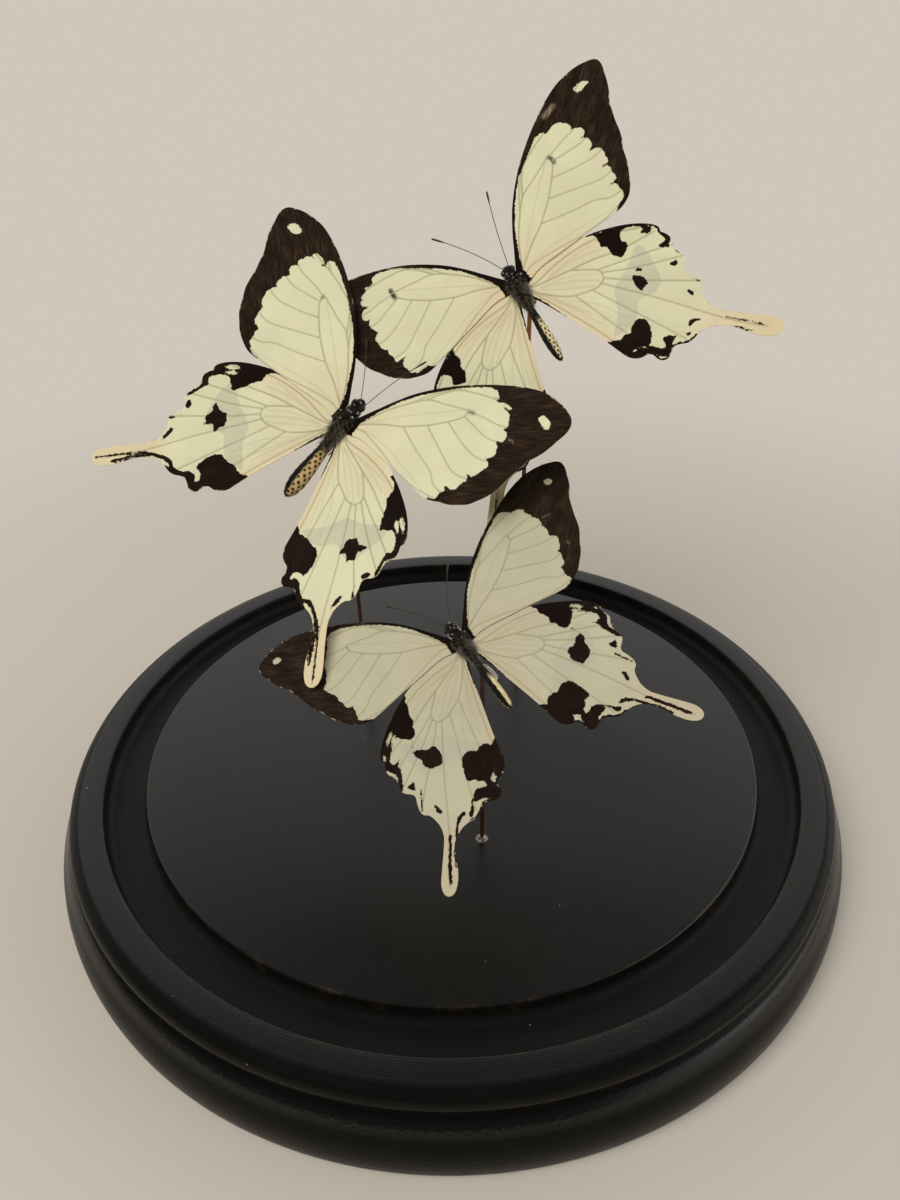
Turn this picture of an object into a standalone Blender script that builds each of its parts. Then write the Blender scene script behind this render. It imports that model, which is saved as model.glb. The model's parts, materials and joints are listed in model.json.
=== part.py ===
"""Three pinned swallowtail butterflies on upright rods, standing on a turned wooden dome base.

Metres, +Z up, origin at the centre of the underside. The base is turned about Z, with a ring
groove where a glass dome would sit. Each butterfly has its own empty: X to its right, Y towards
its head, Z out of its back. Its wings are thin plates that end just short of the thorax.
"""
import math

import bmesh
import bpy
from mathutils import Matrix, Vector

MM = 0.001
GAP = 0.3 * MM

# Turned base.
BASE_HEIGHT = 24.0 * MM
RIM_RADIUS = 106.0 * MM
PLATEAU_RADIUS = 89.0 * MM
GROOVE_OUTER_RADIUS = 100.6 * MM
GROOVE_DEPTH = 5.0 * MM
GROOVE_CORNER = 2.5 * MM
EDGE_ROUND = 0.6 * MM
SHOULDER_REACH = 4.2 * MM
SHOULDER_DROP = 3.4 * MM
FILLET_HEIGHT = 0.7 * MM
COVE_INSET = 1.0 * MM
COVE_HEIGHT = 1.6 * MM
BULGE_CENTRE = (104.5 * MM, 6.0 * MM)
BULGE_SIZE = (10.0 * MM, 13.8 * MM)
BULGE_ANGLES = (62, -22)
FOOT_CHAMFER = 0.8 * MM
BASE_STEPS = 64

# Rods in drilled holes, each with a bead of clear glue round its foot.
ROD_RADIUS = 0.6 * MM
ROD_SIDES = 12
HOLE_DEPTH = 5.0 * MM
GLUE_RADIUS = 1.8 * MM
GLUE_HEIGHT = 0.8 * MM

# Butterfly sizes are for a forewing of 54 mm, and are scaled to each specimen.
NORMAL_FOREWING = 54.0 * MM
WING_THICKNESS = 0.5 * MM
FOREWING_ROOT = (3.0 * MM, 1.6 * MM, 0.55 * MM)
HINDWING_ROOT = (2.6 * MM, -1.2 * MM, -0.55 * MM)

# (distance towards the head, radius) from the tip of the abdomen to the face, in mm.
BODY_PROFILE = (
    (-21.9, 0.15), (-21.3, 0.75), (-19.5, 1.45), (-16.5, 1.95), (-12.5, 2.25), (-9.0, 2.3),
    (-6.2, 2.15), (-4.6, 2.1), (-3.2, 2.7), (-1.2, 3.25), (1.0, 3.3), (2.8, 2.95),
    (4.2, 2.2), (4.9, 1.45), (5.6, 1.55), (6.6, 1.8), (7.7, 1.5), (8.4, 0.15),
)
BODY_SIDES = 14

# Wing outlines in forewing lengths, from the root: X to the tip, Y to the leading edge.
FOREWING_EDGE = (
    (0.025, 0.022), (0.11, 0.098), (0.25, 0.153), (0.40, 0.184), (0.55, 0.190), (0.70, 0.178),
    (0.84, 0.145), (0.94, 0.085), (0.998, 0.0), (0.96, -0.055), (0.865, -0.131), (0.76, -0.199),
    (0.66, -0.272), (0.555, -0.330), (0.47, -0.352), (0.38, -0.328), (0.28, -0.249),
    (0.15, -0.138), (0.05, -0.052),
)
HINDWING_FRONT = (
    (0.022, 0.030), (0.048, 0.108), (0.10, 0.197), (0.17, 0.264), (0.24, 0.304), (0.31, 0.325),
    (0.37, 0.339), (0.44, 0.350), (0.50, 0.341),
)
HINDWING_FRONT_TEETH = ((0.600, 0.290), (0.658, 0.245), (0.757, 0.146))
HINDWING_TAIL = (
    (0.757, 0.146), (0.771, 0.098), (0.815, 0.056), (0.88, 0.033), (0.95, 0.029), (1.02, 0.040),
    (1.09, 0.040), (1.130, 0.004), (1.10, -0.036), (1.03, -0.045), (0.95, -0.030),
    (0.88, -0.022), (0.82, -0.038), (0.785, -0.075), (0.752, -0.112),
)
HINDWING_REAR_TEETH = ((0.675, -0.200), (0.563, -0.220))
HINDWING_REAR = ((0.563, -0.220), (0.487, -0.200), (0.335, -0.145), (0.178, -0.092), (0.045, -0.022))
SCALLOP_DEPTH = 0.012

ANTENNA_ROOT = (0.9, 8.9, 0.5)
ANTENNA_RADIUS = 0.16 * MM
ANTENNA_POINTS = 10
CLUB_START = 0.8
CLUB_SCALE = 2.6

# Places in mm and angles in degrees. "rod" is where the rod meets the underside of the body, and
# "antennae" the places of the two tips, both in mm on a specimen of normal size. "foot" is where
# the rod enters the base, and "yaw" how far a dried body has twisted on its thorax.
SPECIMENS = {
    "low": {
        "forewing": 49.0, "place": (3.6, -35.3, 84.8), "turn": (20.0, -27.5, 23.5),
        "rod": (0.0, -7.3, -3.1), "foot": (7.8, -39.2), "yaw": 0.0,
        "raise": {"left": 1.5, "right": 3.0},
        "forewing_sweep": {"left": 34.0, "right": 28.0},
        "hindwing_sweep": {"left": -54.0, "right": -58.0},
        "antennae": {"left": (-10.4, 23.2, 1.5), "right": (10.4, 22.6, 2.0)},
    },
    "middle": {
        "forewing": 57.0, "place": (-26.6, 12.8, 120.0), "turn": (41.0, 25.0, -44.5),
        "rod": (0.9, -2.5, -3.5), "foot": (-25.2, 15.5), "yaw": 7.0,
        "raise": {"left": 10.5, "right": 8.5},
        "forewing_sweep": {"left": 30.5, "right": 42.0},
        "hindwing_sweep": {"left": -52.5, "right": -46.5},
        "antennae": {"left": (-11.4, 19.5, 1.5), "right": (4.8, 25.4, 2.0)},
    },
    "high": {
        "forewing": 53.5, "place": (18.9, 23.3, 151.2), "turn": (49.0, -31.0, 7.0),
        "rod": (1.0, -3.0, -3.4), "foot": (22.0, 31.5), "yaw": 0.0,
        "raise": {"left": -3.0, "right": 4.5},
        "forewing_sweep": {"left": 27.0, "right": 41.5},
        "hindwing_sweep": {"left": -55.5, "right": -44.5},
        "antennae": {"left": (-12.2, 23.5, 1.5), "right": (5.6, 25.4, 2.0)},
    },
}


def clear_scene():
    """Remove every object that the file holds."""
    for obj in list(bpy.data.objects):
        bpy.data.objects.remove(obj, do_unlink=True)


def make_material(name, color, roughness, metallic=0.0):
    """A plain Principled material."""
    material = bpy.data.materials.new(name)
    material.use_nodes = True
    shader = material.node_tree.nodes["Principled BSDF"]
    shader.inputs["Base Color"].default_value = (*color, 1.0)
    shader.inputs["Roughness"].default_value = roughness
    shader.inputs["Metallic"].default_value = metallic
    return material


def add_object(name, data, material=None, parent=None):
    """Link a new object, under an empty where one is given."""
    obj = bpy.data.objects.new(name, data)
    bpy.context.collection.objects.link(obj)
    obj.parent = parent
    if material:
        data.materials.append(material)
    return obj


def mesh_from(name, mesh_data):
    """Turn finished bmesh data into a mesh whose faces point out."""
    bmesh.ops.recalc_face_normals(mesh_data, faces=mesh_data.faces)
    mesh = bpy.data.meshes.new(name)
    mesh_data.to_mesh(mesh)
    mesh_data.free()
    return mesh


def arc(centre, size, start, end, steps):
    """Points along part of an ellipse, from one angle to another, both in degrees."""
    points = []
    for step in range(steps + 1):
        angle = math.radians(start + (end - start) * step / steps)
        points.append((centre[0] + size[0] * math.cos(angle), centre[1] + size[1] * math.sin(angle)))
    return points


def smooth_curve(points, steps=3):
    """A Catmull-Rom curve through every point, with straight end tangents."""
    spots = [Vector(point) for point in points]
    spots = [2 * spots[0] - spots[1], *spots, 2 * spots[-1] - spots[-2]]
    curve = []
    for before, start, end, after in zip(spots, spots[1:], spots[2:], spots[3:]):
        for step in range(steps):
            t = step / steps
            bend = 2 * before - 5 * start + 4 * end - after
            twist = 3 * (start - end) + after - before
            curve.append(start + 0.5 * t * (end - before + t * (bend + t * twist)))
    curve.append(spots[-2])
    return curve


def scallop(start, end, steps=4):
    """A shallow bay between two teeth of a wing's edge, without its end points."""
    start = Vector(start)
    along = Vector(end) - start
    inward = Vector((along.y, -along.x)).normalized()
    bay = []
    for step in range(1, steps):
        t = step / steps
        bay.append(start + along * t + inward * SCALLOP_DEPTH * math.sin(math.pi * t))
    return bay


def forewing_outline():
    """Closed outline of a forewing in forewing lengths."""
    return smooth_curve(FOREWING_EDGE, 2)


def hindwing_outline():
    """Closed outline of a tailed hindwing in forewing lengths."""
    outline = smooth_curve(HINDWING_FRONT, 2)
    tooth = HINDWING_FRONT[-1]
    for next_tooth in HINDWING_FRONT_TEETH:
        outline += scallop(tooth, next_tooth) + [Vector(next_tooth)]
        tooth = next_tooth
    outline += smooth_curve(HINDWING_TAIL, 3)[1:]
    tooth = HINDWING_TAIL[-1]
    for next_tooth in HINDWING_REAR_TEETH:
        outline += scallop(tooth, next_tooth) + [Vector(next_tooth)]
        tooth = next_tooth
    return outline + smooth_curve(HINDWING_REAR, 2)[1:]


def turn_profile(name, profile, steps, closed=False):
    """Spin a profile of (radius, height) about Z, and cap the ends of an open one."""
    mesh_data = bmesh.new()
    ring = [mesh_data.verts.new((radius, 0.0, height)) for radius, height in profile]
    pairs = zip(ring, ring[1:] + ring[:1]) if closed else zip(ring, ring[1:])
    edges = [mesh_data.edges.new(pair) for pair in pairs]
    bmesh.ops.spin(
        mesh_data, geom=ring + edges, cent=(0, 0, 0), axis=(0, 0, 1), angle=math.tau,
        steps=steps, use_merge=True,
    )
    bmesh.ops.holes_fill(mesh_data, edges=mesh_data.edges, sides=0)
    return mesh_from(name, mesh_data)


def base_profile():
    """Half section of the base, from the plateau's edge over the outside to the underside."""
    top = BASE_HEIGHT
    floor = top - GROOVE_DEPTH
    edge = (EDGE_ROUND, EDGE_ROUND)
    corner = (GROOVE_CORNER, GROOVE_CORNER)
    profile = arc((PLATEAU_RADIUS - EDGE_ROUND, top - EDGE_ROUND), edge, 90, 0, 2)
    profile += arc((PLATEAU_RADIUS + GROOVE_CORNER, floor + GROOVE_CORNER), corner, 180, 270, 3)
    profile += arc((GROOVE_OUTER_RADIUS - GROOVE_CORNER, floor + GROOVE_CORNER), corner, 270, 360, 3)
    profile += arc((GROOVE_OUTER_RADIUS + EDGE_ROUND, top - EDGE_ROUND), edge, 180, 90, 2)
    profile += arc((RIM_RADIUS, top - SHOULDER_DROP), (SHOULDER_REACH, SHOULDER_DROP), 90, 0, 3)
    neck = RIM_RADIUS + SHOULDER_REACH
    ledge = top - SHOULDER_DROP - FILLET_HEIGHT
    profile.append((neck, ledge))
    profile.append((neck - COVE_INSET, ledge - COVE_HEIGHT / 2))
    profile += arc(BULGE_CENTRE, BULGE_SIZE, *BULGE_ANGLES, 6)
    profile.append((profile[-1][0] - FOOT_CHAMFER, 0.0))
    return profile


def round_bar(name, start, end, radius, material=None):
    """A straight round bar between two points."""
    mesh_data = bmesh.new()
    bmesh.ops.create_cone(
        mesh_data, cap_ends=True, segments=ROD_SIDES, radius1=radius, radius2=radius,
        depth=(end - start).length,
    )
    bar = add_object(name, mesh_from(name, mesh_data), material)
    bar.location = (start + end) / 2
    bar.rotation_euler = (end - start).to_track_quat("Z", "Y").to_euler()
    bar.data.shade_smooth()
    bar.data.set_sharp_from_angle(angle=math.radians(50))
    return bar


def cut_hole(target, name, foot, lean):
    """Drill a hole for a rod down into the base, along the way the rod leans."""
    reach = lean * HOLE_DEPTH
    cutter = round_bar(name, foot - reach, foot + reach, ROD_RADIUS + GAP)
    cutter.hide_render = True
    cutter.display_type = "WIRE"
    cut = target.modifiers.new(name, "BOOLEAN")
    cut.operation = "DIFFERENCE"
    cut.object = cutter


def add_base(material, rods):
    """The turned base with its ring groove and a drilled hole for each rod."""
    base = add_object("turned_base", turn_profile("turned_base", base_profile(), BASE_STEPS), material)
    base.data.shade_smooth()
    base.data.set_sharp_from_angle(angle=math.radians(35))
    for number, (foot, lean) in enumerate(rods):
        cut_hole(base, f"hole_cutter_{number}", foot, lean)


def add_glue(name, foot, material):
    """A domed ring of glue that lies on the plateau round the rod."""
    inner = ROD_RADIUS + GAP
    middle = (inner + GLUE_RADIUS) / 2
    profile = arc((middle, 0.0), (GLUE_RADIUS - middle, GLUE_HEIGHT), 0, 180, 5)
    glue = add_object(name, turn_profile(name, profile, ROD_SIDES, closed=True), material)
    glue.location = (foot.x, foot.y, BASE_HEIGHT + GAP)
    glue.data.shade_smooth()


def add_body(name, scale, yaw, empty, material):
    """Head, thorax and abdomen as one turned shape, lying along Y."""
    profile = [(radius * MM * scale, along * MM * scale) for along, radius in BODY_PROFILE]
    body = add_object(name, turn_profile(name, profile, BODY_SIDES), material, empty)
    body.rotation_euler = (-math.pi / 2, 0.0, math.radians(yaw))
    body.data.shade_smooth()


def add_wing(name, outline, length, root, raise_angle, sweep, side, empty, material):
    """A thin plate from a wing outline, swept and raised from the side of the thorax."""
    mirror = -1 if side == "left" else 1
    mesh_data = bmesh.new()
    rim = [mesh_data.verts.new((mirror * x * length, y * length, -WING_THICKNESS / 2)) for x, y in outline]
    sheet = mesh_data.faces.new(rim)
    grown = bmesh.ops.extrude_face_region(mesh_data, geom=[sheet])
    top = [item for item in grown["geom"] if isinstance(item, bmesh.types.BMVert)]
    bmesh.ops.translate(mesh_data, verts=top, vec=(0.0, 0.0, WING_THICKNESS))
    wing = add_object(name, mesh_from(name, mesh_data), material, empty)
    wing.location = (mirror * root[0], root[1], root[2])
    wing.rotation_mode = "ZYX"
    wing.rotation_euler = (0.0, -mirror * math.radians(raise_angle), mirror * math.radians(sweep))


def add_antenna(name, tip, scale, side, empty, material):
    """A thin bowed feeler with a club at its tip."""
    mirror = -1 if side == "left" else 1
    root = Vector((mirror * ANTENNA_ROOT[0], *ANTENNA_ROOT[1:]))
    tip = Vector(tip)
    elbow = root.lerp(tip, 0.5) - Vector((0.12 * tip.x, 0.0, -1.0))
    feeler = bpy.data.curves.new(name, "CURVE")
    feeler.dimensions = "3D"
    feeler.bevel_depth = ANTENNA_RADIUS
    feeler.bevel_resolution = 1
    feeler.use_fill_caps = True
    spline = feeler.splines.new("POLY")
    spline.points.add(ANTENNA_POINTS - 1)
    for number, point in enumerate(spline.points):
        t = number / (ANTENNA_POINTS - 1)
        spot = root.lerp(elbow, t).lerp(elbow.lerp(tip, t), t)
        point.co = (*(spot * MM * scale), 1.0)
        swell = max(0.0, (t - CLUB_START) / (1 - CLUB_START))
        point.radius = 1.0 + (CLUB_SCALE - 1) * math.sin(math.pi * 0.75 * swell)
    add_object(name, feeler, material, empty)


def add_specimen(name, facts, materials):
    """One butterfly under its own empty, with its rod and glue; gives the rod's foot and lean."""
    scale = facts["forewing"] * MM / NORMAL_FOREWING
    empty = add_object(f"{name}_specimen", None)
    empty.location = Vector(facts["place"]) * MM
    empty.rotation_euler = [math.radians(angle) for angle in facts["turn"]]
    add_body(f"{name}_body", scale, facts["yaw"], empty, materials["body"])
    for side in ("left", "right"):
        pairs = (
            ("forewing", forewing_outline(), FOREWING_ROOT),
            ("hindwing", hindwing_outline(), HINDWING_ROOT),
        )
        for wing, outline, root in pairs:
            root = [scale * part for part in root]
            sweep = facts[f"{wing}_sweep"][side]
            add_wing(
                f"{name}_{wing}_{side}", outline, facts["forewing"] * MM, root,
                facts["raise"][side], sweep, side, empty, materials["wing"],
            )
        tip = facts["antennae"][side]
        add_antenna(f"{name}_antenna_{side}", tip, scale, side, empty, materials["antenna"])
    pose = Matrix.LocRotScale(empty.location, empty.rotation_euler, None)
    rod_top = pose @ (Vector(facts["rod"]) * MM * scale)
    foot = Vector((*facts["foot"], BASE_HEIGHT / MM)) * MM
    lean = (rod_top - foot).normalized()
    round_bar(f"{name}_rod", foot - lean * (HOLE_DEPTH - GAP), rod_top, ROD_RADIUS, materials["rod"])
    add_glue(f"{name}_glue", foot, materials["glue"])
    return foot, lean


def main():
    clear_scene()
    materials = {
        "base": make_material("satin_black_wood", (0.035, 0.037, 0.034), 0.4),
        "rod": make_material("stained_rod", (0.09, 0.03, 0.02), 0.45),
        "glue": make_material("clear_glue", (0.75, 0.72, 0.66), 0.15),
        "body": make_material("dark_body", (0.03, 0.026, 0.024), 0.8),
        "wing": make_material("scaled_wing", (0.78, 0.74, 0.5), 0.75),
        "antenna": make_material("dark_feeler", (0.03, 0.022, 0.018), 0.55),
    }
    rods = [add_specimen(name, facts, materials) for name, facts in SPECIMENS.items()]
    add_base(materials["base"], rods)


main()
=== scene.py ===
import json
import math

import bpy
import numpy as np
from mathutils import Euler, Matrix, Vector

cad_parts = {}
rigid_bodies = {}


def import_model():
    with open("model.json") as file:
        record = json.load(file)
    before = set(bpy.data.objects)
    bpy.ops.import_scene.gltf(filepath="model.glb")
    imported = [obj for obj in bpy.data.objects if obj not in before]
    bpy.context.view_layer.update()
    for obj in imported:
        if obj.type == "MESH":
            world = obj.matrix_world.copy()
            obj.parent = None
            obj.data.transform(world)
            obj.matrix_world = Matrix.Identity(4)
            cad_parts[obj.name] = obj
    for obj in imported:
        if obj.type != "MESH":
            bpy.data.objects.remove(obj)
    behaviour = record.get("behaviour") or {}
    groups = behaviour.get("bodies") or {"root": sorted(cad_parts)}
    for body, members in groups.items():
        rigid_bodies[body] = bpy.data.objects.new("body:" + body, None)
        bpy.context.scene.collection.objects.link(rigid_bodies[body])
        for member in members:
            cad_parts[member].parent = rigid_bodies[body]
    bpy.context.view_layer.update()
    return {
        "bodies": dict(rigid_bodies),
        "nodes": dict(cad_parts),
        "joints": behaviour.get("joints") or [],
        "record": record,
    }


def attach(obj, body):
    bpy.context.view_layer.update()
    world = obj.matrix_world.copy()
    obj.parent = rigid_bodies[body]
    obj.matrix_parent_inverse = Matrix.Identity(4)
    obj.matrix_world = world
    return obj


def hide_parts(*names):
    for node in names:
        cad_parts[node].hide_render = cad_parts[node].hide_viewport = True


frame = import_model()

MM = 0.001

# Turned base, with the same section as the frame's but finer steps.
BASE_HEIGHT = 24.0 * MM
RIM_RADIUS = 106.0 * MM
PLATEAU_RADIUS = 89.0 * MM
GROOVE_OUTER_RADIUS = 100.6 * MM
GROOVE_DEPTH = 5.0 * MM
GROOVE_CORNER = 2.5 * MM
EDGE_ROUND = 0.6 * MM
SHOULDER_REACH = 4.2 * MM
SHOULDER_DROP = 3.4 * MM
FILLET_HEIGHT = 0.7 * MM
COVE_INSET = 1.0 * MM
COVE_HEIGHT = 1.6 * MM
BULGE_CENTRE = (104.5 * MM, 6.0 * MM)
BULGE_SIZE = (9.95 * MM, 13.8 * MM)
BULGE_ANGLES = (62, -22)
SIDE_TOP = 20.0 * MM
ROLL_TOP = 17.2 * MM
ROLL_FOOT = 12.5 * MM
FOOT_CHAMFER = 0.8 * MM
BASE_STEPS = 288
ROD_RADIUS = 0.6 * MM
HOLE_DEPTH = 5.0 * MM
GAP = 0.3 * MM

# Butterflies: wing roots in mm on one of normal size, and then measures in forewing lengths: a
# wing's thickness, its cells, its veins, how a hindwing's front is tucked under the forewing, and
# where its tail starts. Hindwings are rubbed this much less than forewings.
NORMAL_FOREWING = 54.0 * MM
FOREWING_ROOT = Vector((3.0, 1.6, 0.55))
HINDWING_ROOT = Vector((2.6, -1.2, -0.55))
SHEET_THICKNESS = 0.0036
CELL = 0.0065
VEIN_RADIUS = 0.0023
MAIN_VEIN_RADIUS = 0.0033
MAIN_VEINS = ("cell_low", "cell_high", "costal", "radius", "front")
TUCK_REACH = 0.15
TUCK_GAP = 0.0056
TAIL_START = 0.80
HINDWING_RUB = 0.30

# Each butterfly in mm and degrees: forewing length, place and turn, where its rod meets the body
# and enters the base, turn and roll of the body, head and abdomen against normal ones, how far the
# rod runs on, where the yellow flank starts and whether it is dotted, lie of its wings, feelers.
SPECIMENS = {
    "low": {
        "forewing": 49.0, "place": (3.6, -35.3, 84.8), "turn": (20.0, -27.5, 23.5),
        "rod": (0.0, -7.3, -3.1), "foot": (7.8, -39.2), "rod_reach": 1.3,
        "yaw": 0.0, "roll": 40.0, "head": 1.0, "girth": 0.60, "flank": -10.2, "dots": False,
        "raise": {"left": 1.5, "right": 3.0},
        "forewing_sweep": {"left": 34.0, "right": 28.0},
        "hindwing_sweep": {"left": -54.0, "right": -58.0},
        "antennae": {"left": (-10.4, 23.2, 1.5), "right": (10.4, 22.6, 2.0)},
    },
    "middle": {
        "forewing": 57.0, "place": (-26.6, 12.8, 120.0), "turn": (41.0, 25.0, -44.5),
        "rod": (0.9, -2.5, -3.5), "foot": (-25.2, 15.5), "rod_reach": 0.0,
        "yaw": 7.0, "roll": 42.0, "head": 1.0, "girth": 1.0, "flank": -6.2, "dots": True,
        "raise": {"left": 10.5, "right": 8.5},
        "forewing_sweep": {"left": 30.5, "right": 42.0},
        "hindwing_sweep": {"left": -52.5, "right": -46.5},
        "antennae": {"left": (-11.4, 19.5, 1.5), "right": (4.8, 25.4, 2.0)},
    },
    "high": {
        "forewing": 53.5, "place": (18.9, 23.3, 151.2), "turn": (49.0, -31.0, 7.0),
        "rod": (1.0, -3.0, -3.4), "foot": (22.0, 31.5), "rod_reach": 0.9,
        "yaw": 0.0, "roll": 52.0, "head": 0.78, "girth": 0.66, "flank": -8.8, "dots": True,
        "raise": {"left": -3.0, "right": 4.5},
        "forewing_sweep": {"left": 27.0, "right": 41.5},
        "hindwing_sweep": {"left": -55.5, "right": -44.5},
        "antennae": {"left": (-12.2, 23.5, 1.5), "right": (5.6, 25.4, 2.0)},
    },
}

FOREWING_EDGE = (
    (-0.03, 0.006), (-0.012, 0.04), (0.035, 0.062), (0.1, 0.09), (0.16, 0.114), (0.255, 0.151),
    (0.355, 0.174), (0.457, 0.187), (0.553, 0.189), (0.64, 0.184), (0.729, 0.172), (0.8, 0.156),
    (0.871, 0.13), (0.931, 0.088), (0.975, 0.04), (0.998, -0.01), (0.985, -0.05), (0.945, -0.09),
    (0.92, -0.11), (0.875, -0.138), (0.82, -0.168), (0.768, -0.21), (0.725, -0.255), (0.672, -0.292),
    (0.61, -0.325), (0.54, -0.349), (0.475, -0.355), (0.4, -0.342), (0.345, -0.305), (0.28, -0.249),
    (0.2, -0.18), (0.15, -0.138), (0.05, -0.055), (-0.03, -0.022),
)
# How much narrower each forewing is behind its apex, and how long and wide each one's tails are.
FOREWING_TRIM = {
    ("low", "left"): 0.1,
    ("low", "right"): 0.05,
    ("middle", "left"): 0.0,
    ("middle", "right"): -0.12,
    ("high", "left"): 0.0,
    ("high", "right"): 0.16,
}
TAIL_SCALE = {"low": (0.92, 0.84), "middle": (1.0, 0.96), "high": (1.0, 1.0)}
HINDWING_EDGE = (
    (-0.03, 0.025), (0.0, 0.066), (0.045, 0.125), (0.1, 0.19), (0.17, 0.245), (0.21, 0.268),
    (0.25, 0.291), (0.31, 0.318), (0.36, 0.337), (0.407, 0.35), (0.45, 0.357), (0.49, 0.357),
    (0.515, 0.349), (0.527, 0.332), (0.548, 0.327), (0.574, 0.314), (0.585, 0.29), (0.6, 0.272),
    (0.625, 0.257), (0.658, 0.24), (0.668, 0.218), (0.672, 0.19), (0.685, 0.172), (0.715, 0.163),
    (0.75, 0.148), (0.766, 0.128), (0.768, 0.106), (0.785, 0.08), (0.815, 0.055), (0.865, 0.038),
    (0.94, 0.037), (1.02, 0.041), (1.09, 0.042), (1.13, 0.027), (1.145, 0.0), (1.13, -0.03),
    (1.085, -0.045), (1.03, -0.045), (0.975, -0.034), (0.93, -0.028), (0.887, -0.03), (0.84, -0.045),
    (0.805, -0.073), (0.788, -0.103), (0.765, -0.126), (0.735, -0.137), (0.712, -0.15), (0.703, -0.178),
    (0.7, -0.2), (0.682, -0.217), (0.655, -0.217), (0.63, -0.203), (0.606, -0.203), (0.582, -0.222),
    (0.553, -0.232), (0.517, -0.23), (0.475, -0.212), (0.412, -0.183), (0.335, -0.152), (0.27, -0.128),
    (0.178, -0.094), (0.075, -0.058), (-0.02, -0.034),
)

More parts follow.
